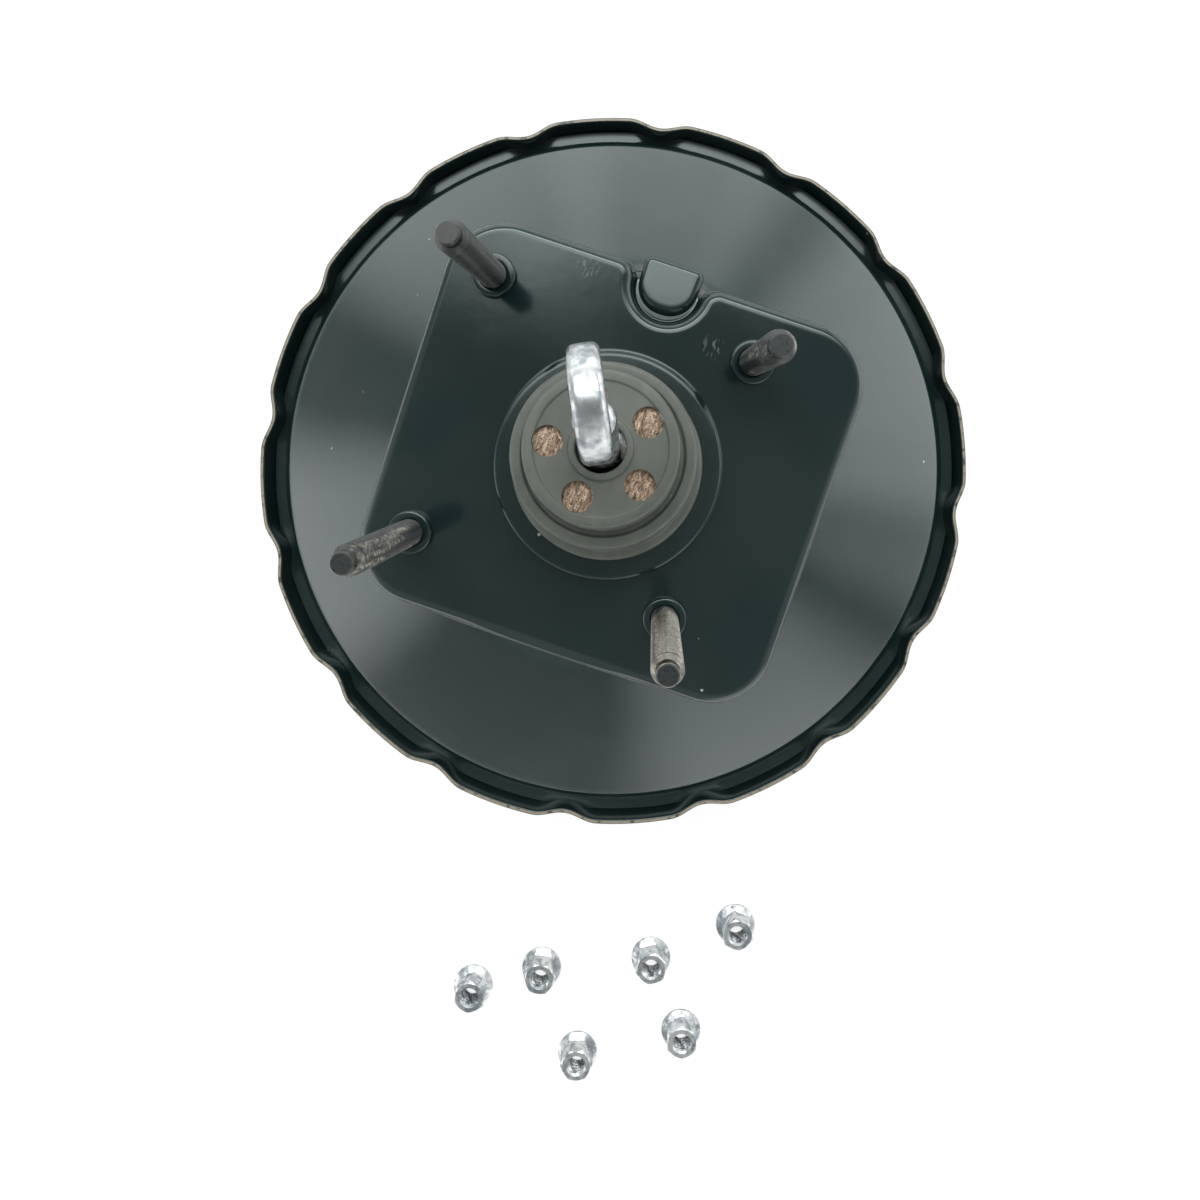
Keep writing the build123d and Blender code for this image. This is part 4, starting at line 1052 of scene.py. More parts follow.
    def rows(self) -> list[np.ndarray]:
        """Rings of the outer skin, from the flat of the platform to the edge of the flange.

        Returns:
            The rings.
        """
        plan, normals = self.outline()
        rows: list[np.ndarray] = []
        for d, h in self.edge_section():
            flat = plan + d * normals
            body = self.cone_z(flat[:, 0], flat[:, 1])
            reach = np.full(len(flat), self.foot) * float(smooth_step(-2.5, 0.6, np.array(d)))
            top = DATUM.plane_z(flat[:, 1]) + h
            rows.append(np.column_stack([flat, soft_max(top, body, reach + 1e-3)]))
        last = rows[-1][:, :2]
        out = np.arctan2(last[:, 1], last[:, 0])
        rim = np.stack([np.cos(out), np.sin(out)], axis=1)
        tangent_r = self.shoulder_r - self.shoulder_reach * math.cos(math.radians(self.cone))
        for t in np.linspace(0.0, 1.0, 30)[1:] ** 1.5:
            flat = (1 - t) * last + t * rim * tangent_r
            rows.append(np.column_stack([flat, self.cone_z(flat[:, 0], flat[:, 1])]))
        for r, z in self.rim_section():
            rows.append(np.column_stack([rim * r, np.full(len(rim), z)]))
        return rows

    def boss_plan(self, inset: float) -> np.ndarray:
        """Outline of the boss, drawn in by an inset.

        Args:
            inset: How far it is drawn in.

        Returns:
            Its points, as x and y from the middle of the platform's upper edge.
        """
        wide, half = self.boss_wide - inset, self.boss_half - inset
        high, low = self.boss_high - inset, self.boss_low + inset
        tight, bend = self.boss_corner - inset, self.boss_bend - inset
        corners = [(-wide, high, tight), (-half, low, bend), (half, low, bend), (wide, high, tight)]
        return rounded_path(corners, 14)

    def boss_rows(self) -> list[np.ndarray]:
        """Rings of the boss in the bay, with its straight outer side, from its foot to its top.

        Returns:
            The rings.
        """
        top, bend = self.boss_top_z, self.boss_round
        flats = [(self.boss_plan(0.0), z) for z in (self.boss_foot_z, top - bend - 0.4)]
        for t in np.linspace(0.0, math.pi / 2, 9):
            flats.append((self.boss_plan(bend * (1 - math.cos(t))), top - bend * (1 - math.sin(t))))
        flats += [(share * flats[-1][0], top) for share in (0.9, 0.5, 0.2)]
        rows: list[np.ndarray] = []
        for flat, z in flats:
            rows.append(np.column_stack([flat[:, 0], flat[:, 1] + self.half_v, np.full(len(flat), z)]))
        return rows

    def fill_flat(self, mesh: bpy.types.Mesh) -> None:
        """Closes the flat of the platform between the hub and the rounded edge.

        Args:
            mesh: Mesh of the two skins, filled in place.
        """
        work = bmesh.new()
        work.from_mesh(mesh)
        level = (self.neck_low_z + 2.0) * MM
        rims = [edge for edge in work.edges if edge.is_boundary and all(v.co.z > level for v in edge.verts)]
        bmesh.ops.triangle_fill(work, edges=rims, use_beauty=True, use_dissolve=False)
        bmesh.ops.recalc_face_normals(work, faces=work.faces)
        work.to_mesh(mesh)
        work.free()

    def build(self) -> bpy.types.Object:
        """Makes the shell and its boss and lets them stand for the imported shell.

        Returns:
            The shell.
        """
        shell = skin("rear_pressing", [self.hub_rows(), self.rows()], loop=False, sharp=self.sharp)
        self.fill_flat(shell.data)
        thick = shell.modifiers.new("sheet", "SOLIDIFY")
        thick.thickness = DATUM.sheet * MM
        thick.offset = -1.0
        finish_modifiers(shell)
        tidy(shell.data, self.sharp)
        boss = skin("bay_boss", [self.boss_rows()], loop=False, caps=True, sharp=self.sharp)
        stand_for(boss, "shell_paint", Body.HOUSING)
        return stand_for(shell, "shell_paint", Body.HOUSING, "rear_shell")


@dataclass
class FrontShell:
    """The front cup with its pad, spigot and crimped, notched lip."""

    lip_r: float = 122.5
    lip_top_z: float = 61.4
    wall_r: float = 122.25
    step_low_z: float = 45.8
    bead_low_z: float = 47.4
    cup_r: float = 114.0
    cup_low_r: float = 111.0
    cup_round: float = 12.0
    face_z: float = 5.0
    pad_r: float = 54.0
    pad_foot_r: float = 61.0
    spigot_r: float = 16.0
    spigot_z: float = 12.0
    notch_count: int = 16
    notch_depth: float = 2.6
    notch_half: float = 5.3
    notch_phase: float = 10.8
    columns: int = 720

    def profile(self) -> np.ndarray:
        """Closed section of the cup, from the top of the lip down the outside and back up the inside.

        Returns:
            Its points, as radii and heights.
        """
        t = DATUM.sheet
        low = DATUM.flange_top_z
        corners = [
            (self.lip_r, self.lip_top_z, 0.5), (self.lip_r, low, 0.0), (self.wall_r, low - 1.0, 0.0),
            (self.wall_r, self.step_low_z, t), (self.cup_r, self.step_low_z, 0.8),
            (self.cup_low_r, self.face_z, self.cup_round), (self.pad_foot_r, self.face_z, 2.0),
            (self.pad_r, 0.0, 2.0), (self.spigot_r, 0.0, 1.2), (self.spigot_r, self.spigot_z, 0.3),
            (self.spigot_r + t, self.spigot_z, 0.3), (self.spigot_r + t, t, 0.4),
            (self.pad_r - t / 2, t, 1.0), (self.pad_foot_r - t / 2, self.face_z + t, 1.0),
            (self.cup_low_r - t, self.face_z + t, self.cup_round - t), (self.cup_r - t, self.bead_low_z, 0.8),
            (self.wall_r - t, self.bead_low_z, 0.6), (self.wall_r - t, low - 1.0, 0.0),
            (self.lip_r - t, low, 0.0), (self.lip_r - t, self.lip_top_z, 0.5),
        ]
        return rounded_path(corners, 5)

    def build(self) -> bpy.types.Object:
        """Makes the shell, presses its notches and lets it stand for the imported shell.

        Returns:
            The shell.
        """
        turn = np.linspace(0.0, 360.0, self.columns, endpoint=False)
        pitch = 360.0 / self.notch_count
        off = np.abs((turn - self.notch_phase + pitch / 2) % pitch - pitch / 2)
        press = np.where(off < self.notch_half, 0.5 + 0.5 * np.cos(math.pi * off / self.notch_half), 0.0)
        press = self.notch_depth * press
        ways = np.stack([np.cos(np.radians(turn)), np.sin(np.radians(turn))], axis=1)
        rows: list[np.ndarray] = []
        for r, z in self.profile():
            share = float(smooth_step(self.bead_low_z + 1.0, DATUM.flange_top_z, np.array(z)))
            share *= float(smooth_step(self.cup_r, self.cup_r + 5.0, np.array(r)))
            rows.append(np.column_stack([ways * (r - share * press)[:, None], np.full(self.columns, z)]))
        shell = skin("front_pressing", [rows], sharp=40.0)
        mark(shell, "bare", lambda p: smooth_step(self.lip_top_z - 0.03, self.lip_top_z, p[:, 2]))
        return stand_for(shell, "shell_paint", Body.HOUSING, "front_shell", "front_pad", "front_spigot")


@dataclass
class DustBoot:
    """The rubber boot over the piston's tail, with breather holes in its leaning cap."""

    foot_r: float = 26.5
    foot_h: float = 3.4
    step_r: float = 23.4
    step_z: float = 124.6
    cap_r: float = 18.5
    wall: float = 1.2
    cap_t: float = 1.5
    hole_r: float = 3.7
    hole_ring_r: float = 12.5
    hole_count: int = 5
    hole_phase: float = 47.0
    rod_hole_r: float = 5.9
    collar_r: float = 7.5
    collar_h: float = 1.0
    groove_out_r: float = 20.6
    groove_in_r: float = 20.0
    groove_depth: float = 0.8
    rim: float = 2.6
    dish: float = 0.35
    step_t: float = 2.0
    plug_z: tuple[float, float] = (130.0, 138.0)
    plug_columns: int = 48
    sharp: float = 38.0
    aside: float = 4.108
    keep: float = 0.1875
    columns: int = 160

    def centre(self, z: float) -> np.ndarray:
        """How far the boot is drawn aside at a height, as x and y."""
        share = max(0.0, (z - DATUM.hub_top_z) / (DATUM.boot_top_z - DATUM.hub_top_z))
        return DATUM.lean_way[:2] * self.aside * share

    def profile(self) -> np.ndarray:
        """Closed section from the foot up the outside, over the cap and down the inside.

        Returns:
            Its points, as radii and heights.
        """
        low, top = DATUM.hub_top_z, DATUM.boot_top_z
        foot_z = low + self.foot_h
        groove_z = self.step_z - self.groove_depth
        shelf_z = self.step_z - self.step_t
        under = top - self.cap_t
        disc_z = top - self.dish
        collar_z = top + self.collar_h
        inner = self.step_r - self.wall
        cap_inner = self.cap_r - self.wall
        corners = [
            (inner, low, 0.3), (self.foot_r, low, 0.4), (self.foot_r, foot_z, 1.5),
            (self.step_r + 0.4, foot_z + 1.0, 0.8), (self.step_r, self.step_z, 1.3),
            (self.groove_out_r, self.step_z, 0.5), (self.groove_in_r, groove_z, 0.5),
            (self.cap_r + 0.5, groove_z, 0.5), (self.cap_r, top, 1.1),
            (self.cap_r - self.rim, top, 0.5), (self.cap_r - self.rim - 0.3, disc_z, 0.3),
            (self.collar_r + 0.3, disc_z, 0.4), (self.collar_r, collar_z, 0.5),
            (self.rod_hole_r, collar_z, 0.4), (self.rod_hole_r, under, 0.3), (cap_inner, under, 0.6),
            (cap_inner, shelf_z, 0.4), (inner, shelf_z, 0.8),
        ]
        return rounded_path(corners, 5, 0.3)

    def hole_spot(self, k: int) -> np.ndarray:
        """Place of one breather hole from the middle of the cap, as x and y."""
        turn = math.radians(self.hole_phase + k * 360.0 / self.hole_count)
        return self.hole_ring_r * np.array([math.cos(turn), math.sin(turn)])

    def holes(self) -> bpy.types.Object:
        """Plugs that cut the breather holes.

        Returns:
            The plugs, in one object.
        """
        middle = self.centre(DATUM.boot_top_z)
        groups = []
        for k in range(self.hole_count):
            spot = middle + self.hole_spot(k)
            groups.append([circle(self.hole_r, self.plug_columns, z, spot) for z in self.plug_z])
        return skin("hole_plugs", groups, loop=False, caps=True)

    def build(self) -> bpy.types.Object:
        """Makes the boot with its breather holes and lets it stand for the imported boot.

        Returns:
            The boot.
        """
        rows = [circle(r, self.columns, z, self.centre(z)) for r, z in self.profile()]
        boot = skin("dust_boot", [rows], sharp=self.sharp)
        plugs = self.holes()
        cut = boot.modifiers.new("holes", "BOOLEAN")
        cut.operation = "DIFFERENCE"
        cut.solver = "EXACT"
        cut.object = plugs
        finish_modifiers(boot)
        bpy.data.objects.remove(plugs)
        tidy(boot.data, self.sharp)
        dress(boot, "boot_rubber")
        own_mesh(boot)
        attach(boot, Body.HOUSING.value)
        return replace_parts(boot, "boot")


def thread_rows(
    radius: float, depth: float, pitch: float, length: float, columns: int = 30, per_turn: int = 8
) -> list[np.ndarray]:
    """Rings of a threaded bar along +Z, with a true helix.

    Args:
        radius: Major radius.
        depth: Depth of the thread.
        pitch: Rise of one turn.
        length: Threaded length.
        columns: Points on each ring.
        per_turn: Rings for each turn.

    Returns:
        The rings, from z = 0.
    """
    crest, flanks = 0.12, 0.76
    turn = np.linspace(0.0, 1.0, columns, endpoint=False)
    count = int(round(length / pitch * per_turn))
    rows = []
    for k in range(count + 1):
        z = length * k / count
        phase = (z / pitch - turn) % 1.0
        groove = np.clip((np.abs(phase - 0.5) * 2.0 - crest) / flanks, 0.0, 1.0)
        fade = min(1.0, z / pitch, (length - z) / pitch * 1.5)
        r = radius - depth * groove * max(0.0, fade)
        x, y = r * np.cos(2 * math.pi * turn), r * np.sin(2 * math.pi * turn)
        rows.append(np.stack([x, y, np.full(columns, z)], axis=1))
    return rows


@dataclass
class Studs:
    """The four bulkhead studs with their collars, and the two front studs."""

    pitch: float = 78.0
    off_u: float = -9.3
    off_v: float = 2.1
    radius: float = 4.0
    thread: float = 1.25
    depth: float = 0.62
    length: float = 42.0
    dog_r: float = 2.9
    dog_h: float = 2.6
    chamfer: float = 0.9
    collar_r: float = 6.4
    collar_h: float = 2.0
    collar_bore_r: float = 4.05
    collar_sunk: float = 0.3
    plain: float = 0.8
    around: float = 10.0
    front_ring: float = 42.0
    front_length: float = 22.0
    front_coat: float = 0.15
    head_r: float = 8.0
    head_z: tuple[float, float] = (4.6, 7.6)
    sharp: float = 32.0
    coat: dict[tuple[int, int], float] = field(
        default_factory=lambda: {(-1, -1): 0.50, (-1, 1): 1.0, (1, -1): 0.30, (1, 1): 0.56}
    )

    def places(self) -> list[tuple[tuple[int, int], np.ndarray]]:
        """Sides and feet of the four studs.

        Returns:
            The sign of each stud's side along and up the platform, with its foot.
        """
        half = self.pitch / 2
        sides = [(u, v) for u in (-1, 1) for v in (-1, 1)]
        return [((u, v), DATUM.on_platform(self.off_u + u * half, self.off_v + v * half)) for u, v in sides]

    def bar(self, length: float, dog: bool) -> list[np.ndarray]:
        """Rings of one stud along +Z, from its foot in the collar.

        Args:
            length: Length over all.
            dog: Whether it ends in a dog point.

        Returns:
            The rings.
        """
        tip = length - self.dog_h if dog else length
        rows = thread_rows(self.radius, self.depth, self.thread, tip - self.chamfer - self.plain)
        columns = len(rows[0])
        rows = [row + np.array([0.0, 0.0, self.plain]) for row in rows]
        ends = [(self.radius - self.chamfer, tip)]
        if dog:
            bevel = self.chamfer / 2
            ends += [(self.dog_r + 0.05, tip + 0.1), (self.dog_r, tip + 0.2)]
            ends += [(self.dog_r, length - bevel), (self.dog_r - bevel, length)]
        return rows + lathe(np.array(ends), columns)

    def build_bulkhead(self) -> bpy.types.Object:
        """Makes the four studs on the platform.

        Returns:
            The studs.
        """
        groups = [to_frame(self.bar(self.length, True), foot, DATUM.normal) for _, foot in self.places()]
        studs = skin("bulkhead_studs", groups, loop=False, caps=True, sharp=self.sharp)

        def coat(points: np.ndarray) -> np.ndarray:
            """How much black coating each point keeps.

            Args:
                points: The points, in millimetres.

            Returns:
                The coating at each.
            """
            value = np.zeros(len(points))
            for side, foot in self.places():
                rise = (points - foot) @ DATUM.normal
                aside = points - foot - rise[:, None] * DATUM.normal
                near = np.linalg.norm(aside, axis=1) < self.around
                worn = self.coat[side] + 0.35 * (1 - smooth_step(2.0, 9.0, rise))
                value[near] = (worn + 0.4 * smooth_step(self.length - 0.3, self.length, rise))[near]
            return value

        mark(studs, "coat", coat)
        return stand_for(studs, "stud_steel", Body.HOUSING, "firewall_studs")

    def build_front(self) -> bpy.types.Object:
        """Makes the two studs of the front pad, with their heads inside.

        Returns:
            The studs.
        """
        groups = []
        down = np.array([0.0, 0.0, -1.0])
        for side in (-1.0, 1.0):
            spot = np.array([side * self.front_ring, 0.0, 0.0])
            groups.append(to_frame(self.bar(self.front_length, False), spot, down))
            low, top = self.head_z
            head = [(0.05, low, 0.0), (self.head_r, low, 0.3), (self.head_r, top, 0.6), (0.05, top, 0.0)]
            groups.append(lathe(rounded_path(head), 30, spot[:2])[::-1])
        studs = skin("front_studs", groups, loop=False, caps=True, sharp=self.sharp)
        mark(studs, "coat", lambda p: np.full(len(p), self.front_coat))
        return stand_for(studs, "stud_steel", Body.HOUSING, "master_cylinder_studs")

    def build_collars(self) -> bpy.types.Object:
        """Repeats one swaged collar at the foot of each bulkhead stud.

        Returns:
            The collars.
        """
        r, bore = self.collar_r, self.collar_bore_r
        low, top = -self.collar_sunk, self.collar_h
        profile = rounded_path([(bore, low, 0.0), (r, low, 0.0), (r, top, 0.8), (bore, top, 0.35)])
        one = skin("collar_pattern", [lathe(profile, 64)], sharp=40.0)
        feet = [foot for _, foot in self.places()]
        tilt = (math.radians(DATUM.platform_tilt), 0.0, 0.0)
        collars = repeat("swaged_collars", one, feet, [tilt] * len(feet), Finishes.shell_paint)
        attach(collars, Body.HOUSING.value)
        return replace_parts(collars, "stud_collars")

    def build(self) -> list[bpy.types.Object]:
        """Makes all studs and collars."""
        return [self.build_bulkhead(), self.build_front(), self.build_collars()]


def repeat(
    name: str,
    pattern: bpy.types.Object,
    places: Sequence[Sequence[float]],
    turns: Sequence[Sequence[float]],
    finish: Finish,
) -> bpy.types.Object:
    """Repeats a pattern piece at a set of places with a node tree and makes the result a plain mesh.

    Args:
        name: Name of the new piece.
        pattern: Piece to repeat; it is removed afterwards.
        places: Where the copies go, in millimetres.
        turns: Turn of each copy about X, Y and Z, in radians.
        finish: Finish of all copies.

    Returns:
        The new piece.
    """
    mesh = bpy.data.meshes.new(name)
    mesh.from_pydata([tuple(float(c) * MM for c in p) for p in places], [], [])
    spin = mesh.attributes.new("turn", "FLOAT_VECTOR", "POINT")
    spin.data.foreach_set("vector", np.array(turns, dtype=np.float32).ravel())
    piece = new_object(name, mesh)
    tree = bpy.data.node_groups.new(name + "_repeat", "GeometryNodeTree")
    tree.interface.new_socket("Geometry", in_out="INPUT", socket_type="NodeSocketGeometry")
    choice = tree.interface.new_socket("Pattern", in_out="INPUT", socket_type="NodeSocketObject")
    tree.interface.new_socket("Geometry", in_out="OUTPUT", socket_type="NodeSocketGeometry")
    make = tree.nodes.new
    source, out = make("NodeGroupInput"), make("NodeGroupOutput")
    info, place = make("GeometryNodeObjectInfo"), make("GeometryNodeInstanceOnPoints")
    turn, real = make("GeometryNodeInputNamedAttribute"), make("GeometryNodeRealizeInstances")
    colour = make("GeometryNodeSetMaterial")
    turn.data_type = "FLOAT_VECTOR"
    turn.inputs["Name"].default_value = "turn"
    colour.inputs["Material"].default_value = finish.material()
    for a, b in (
        (source.outputs["Pattern"], info.inputs["Object"]),
        (source.outputs["Geometry"], place.inputs["Points"]),
        (info.outputs["Geometry"], place.inputs["Instance"]),
        (turn.outputs["Attribute"], place.inputs["Rotation"]),
        (place.outputs["Instances"], real.inputs["Geometry"]),
        (real.outputs["Geometry"], colour.inputs["Geometry"]),
        (colour.outputs["Geometry"], out.inputs["Geometry"]),
    ):
        tree.links.new(a, b)
    layer = piece.modifiers.new("repeat", "NODES")
    layer.node_group = tree
    layer[choice.identifier] = pattern
    finish_modifiers(piece)
    bpy.data.objects.remove(pattern)
    return piece


@dataclass
class FlangeNuts:
    """The six flange nuts that lie beside the booster."""

    flat: float = 13.0
    height: float = 8.0
    flange_r: float = 8.95
    flange_t: float = 1.3
    slope_h: float = 1.2
    bore_r: float = 3.5
    depth: float = 0.5
    thread: float = 1.25
    thread_steps: int = 24
    corner: float = 1.13
    crown: float = 32.0
    mouth: float = 0.3
    columns: int = 72
    places: tuple[Corner, ...] = (
        (13.1, -251.0, 12.0), (40.6, -233.2, 40.0), (87.3, -212.6, 5.0),
        (119.8, -185.8, 27.0), (68.7, -263.9, 50.0), (110.9, -239.2, 18.0),
    )

    def pattern(self) -> bpy.types.Object:
        """One nut, standing on z = 0.

        Returns:
            The nut.
        """
        turn = np.linspace(0.0, 2 * math.pi, self.columns, endpoint=False)
        ways = np.stack([np.cos(turn), np.sin(turn)], axis=1)
        off = (turn + math.pi / 6) % (math.pi / 3) - math.pi / 6
        hexagon = np.minimum(0.5 * self.flat / np.cos(off), 0.5 * self.flat * self.corner)
        rows: list[np.ndarray] = []

        def ring(r: object, z: object) -> None:
            """Adds a ring whose radius and height may change round it."""
            level = np.broadcast_to(z, len(ways))
            rows.append(np.column_stack([ways * np.broadcast_to(r, len(ways))[:, None], level]))

        edge = self.flange_t
        ring(self.bore_r + 0.9, 0.0)
        for r, z in ((self.flange_r - 0.4, 0.0), (self.flange_r, 0.35), (self.flange_r, edge - 0.3)):
            ring(r, z)
        ring(self.flange_r - 0.35, edge)
        foot = self.flange_t + self.slope_h
        ring(hexagon + 0.5, foot - 0.15)
        ring(hexagon + 0.1, foot + 0.1)
        ring(hexagon, foot + 0.5)
        top_r = 0.5 * self.flat - 0.25
        cut = self.height - np.maximum(hexagon - top_r, 0.0) * math.tan(math.radians(self.crown))
        ring(hexagon, cut - 0.15)
        ring(hexagon - 0.1, cut)
        ring(top_r, self.height)
        ring(self.bore_r + 1.0, self.height)
        ring(self.bore_r + self.mouth, self.height - 0.7)
        share = turn / (2 * math.pi)
        for k in range(self.thread_steps + 1):
            z = (self.height - 0.9) - (self.height - 1.8) * k / self.thread_steps
            wave = np.abs((z / self.thread - share) % 1.0 - 0.5) * 2.0
            ring(self.bore_r + self.depth * wave, z)
        ring(self.bore_r + self.mouth, 0.7)
        return skin("nut_pattern", [rows], sharp=28.0)

    def build(self) -> bpy.types.Object:
        """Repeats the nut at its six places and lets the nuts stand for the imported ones.

        Returns:
            The nuts.
        """
        spots = [(x, y, DATUM.floor_z) for x, y, _ in self.places]
        turns = [(0.0, 0.0, math.radians(turn)) for _, _, turn in self.places]
        nuts = repeat("loose_nuts", self.pattern(), spots, turns, Finishes.zinc_plate)
        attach(nuts, Body.HOUSING.value)
        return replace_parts(nuts, "flange_nuts")


@dataclass
class PedalRod:
    """The leaning rod with its ball, eye and bush."""

    ball_r: float = 5.5
    neck_r: float = 3.5
    neck_end: float = 8.5
    rod_r: float = 4.5
    eye_at: float = 53.0
    eye_r: float = 11.0
    eye_t: float = 6.0
    eye_round: float = 1.5
    bush_r: float = 6.5
    bore_r: float = 5.0
    bush_out: float = 0.04
    bush_lap: float = 0.2
    middle: float = 30.0
    ball_span: tuple[float, float] = (-1.54, 0.88)
    eye_way: Corner = (0.89365, 0.44759, -0.03233)

    def build(self) -> bpy.types.Object:
        """Makes the rod, and its eye with the bush.

        Returns:
            The eye with its bush.
        """
        foot = np.array([0.0, 0.0, DATUM.pivot_z])
        join = math.sqrt(self.ball_r**2 - self.neck_r**2)
        neck, thick = self.neck_r, self.rod_r
        start, end = self.neck_end, self.eye_at - self.eye_r + 2.6
        sweep = np.linspace(*self.ball_span, 20)
        bar = [(self.ball_r * math.cos(t), self.ball_r * math.sin(t)) for t in sweep]
        bar += [(neck, join + 0.4), (neck, start), (neck + 0.3, start + 0.2), (thick, start + 1.5)]
        bar += [(thick, self.middle), (thick, end - 2.0), (thick - 0.3, end - 1.0)]
        bar += [(thick - 1.2, end), (thick - 2.6, end + 0.4)]
        turned = to_frame(lathe(np.array(bar), 64), foot, DATUM.rod_way)
        rod = skin("pedal_bar", [turned], loop=False, caps=True)

        def sleeve(inner: float, outer: float, half: float, soft_in: float, soft_out: float) -> np.ndarray:
            """Section of a ring about the eye's axis, with its inner and outer edges rounded.

            Args:
                inner: Inner radius.
                outer: Outer radius.
                half: Half its width.
                soft_in: Round of the inner edges.
                soft_out: Round of the outer edges.

            Returns:
                Its points, as radii and heights.
            """
            below = [(inner, -half, soft_in), (outer, -half, soft_out)]
            above = [(outer, half, soft_out), (inner, half, soft_in)]
            return rounded_path(below + above)

        half = self.eye_t / 2
        ring = sleeve(self.bush_r - self.bush_lap, self.eye_r, half, 0.2, self.eye_round)
        bush = sleeve(self.bore_r, self.bush_r, half + self.bush_out, 0.4, 0.2)
        middle = foot + self.eye_at * DATUM.rod_way
        way = np.array(self.eye_way) / np.linalg.norm(self.eye_way)
        parts = [to_frame(lathe(section, 96), middle, way) for section in (ring, bush)]
        eye = skin("pedal_eye", parts, sharp=40.0)
        stand_for(rod, "zinc_plate", Body.ROD, "input_rod")
        return stand_for(eye, "zinc_plate", Body.ROD, "rod_eye_bush")


@dataclass
class FeltHairs:
    """Short loose hairs that stand up from the felt behind the breather holes."""

    count: int = 800
    felt_top_z: float = 133.2
    hair_r: float = 0.075
    length: float = 1.5
    sag: float = 0.25
    within_r: float = 3.0
    layer: float = 0.28
    roll: float = 0.5
    lift: float = 0.12
    spin: float = 6.28
    seed: int = 11
    boot: DustBoot = field(default_factory=DustBoot)

    def pattern(self) -> bpy.types.Object:
        """One bent hair along X.

        Returns:
            The hair.
        """
        rows = []
        for t in np.linspace(-1.0, 1.0, 6):
            ring = circle(self.hair_r * (1.2 - 0.6 * abs(t)), 5, 0.0)
            along = np.full(len(ring), t * self.length / 2)
            rows.append(np.stack([along, ring[:, 0], ring[:, 1] - self.sag * t * t], axis=1))
        return skin("hair_pattern", [rows], loop=False, caps=True, sharp=80.0)

    def build(self) -> bpy.types.Object:
        """Scatters the hairs in the breather holes, with a fixed seed.

        Returns:
            The hairs.
        """
        chance = np.random.default_rng(self.seed)
        middle = self.boot.centre(DATUM.boot_top_z)
        spots, turns = [], []
        for k in range(self.count):
            hole = middle + self.boot.hole_spot(k % self.boot.hole_count)
            r = self.within_r * math.sqrt(chance.random())
            way = 2 * math.pi * chance.random()
            x, y = hole + r * np.array([math.cos(way), math.sin(way)])
            spots.append((x, y, self.felt_top_z + self.layer * chance.random()))
            roll, lift = self.roll * chance.standard_normal(), self.lift * chance.standard_normal()
            turns.append((roll, lift, self.spin * chance.random()))
        hairs = repeat("felt_hairs", self.pattern(), spots, turns, Finishes.felt_strand)
        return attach(hairs, Body.PISTON.value)


def copy_node(node: str, name: str, slot: str) -> bpy.types.Object:
    """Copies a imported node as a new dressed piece.

    Args:
        node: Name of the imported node.
        name: Name of the new piece.
        slot: Name of the record's material slot.

    Returns:
        The new piece.
    """
    piece = new_object(name, frame["nodes"][node].data.copy())
    dress(piece, slot)
    shade(piece.data, 40.0)
    return piece


@dataclass(frozen=True)
class Squeeze:
    """A springy node, with the joint, foot height and share that tell how it shortens; its copy keeps the
    node's shape.
    """

    node: str
    name: str
    joint: str
    foot_z: float
    keep: float
    body: Body
    slot: str = "spring_steel"

    def build(self) -> bpy.types.Object:
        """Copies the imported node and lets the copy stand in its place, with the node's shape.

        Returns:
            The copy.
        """
        piece = copy_node(self.node, self.name, self.slot)
        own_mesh(piece)
        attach(piece, self.body.value)
        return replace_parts(piece, self.node)


@dataclass
class Inside:
    """Springs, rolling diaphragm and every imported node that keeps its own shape."""

    springs: tuple[Squeeze, ...] = (
        Squeeze("main_return_spring", "return_coil", "booster_stroke", 4.6, 0.577, Body.HOUSING),
        Squeeze("rod_return_spring", "rod_coil", "plunger_slide", 106.5, 0.83, Body.PISTON),
        Squeeze("check_valve_spring", "valve_coil", "check_valve_lift", -7.85, 0.65, Body.HOUSING),
    )
    bead_z: float = 53.4
    roll_z: float = 59.0

    def build_diaphragm(self) -> bpy.types.Object:
        """Copies the diaphragm and lets the copy stand in its place.

        Returns:
            The diaphragm.
        """
        piece = copy_node("diaphragm", "rolling_diaphragm", "seal_rubber")
        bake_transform(piece)
        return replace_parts(piece, "diaphragm")

    def build(self) -> list[bpy.types.Object]:
        """Makes the flexible pieces and dresses the other nodes.

        Returns:
            The flexible pieces.
        """
        made = [spring.build() for spring in self.springs]
        made.append(self.build_diaphragm())
        for row in frame["record"]["subparts"]:
            node = frame["nodes"][row["node"]]
            if not node.hide_render:
                dress(node, row["material_slot"])
                shade(node.data, 35.0)
        return made


@dataclass(frozen=True)
class Lobe:
    """A soft bright panel of the studio, by azimuth in degrees, half width and strength."""

    azimuth: float
    half: float
    strength: float


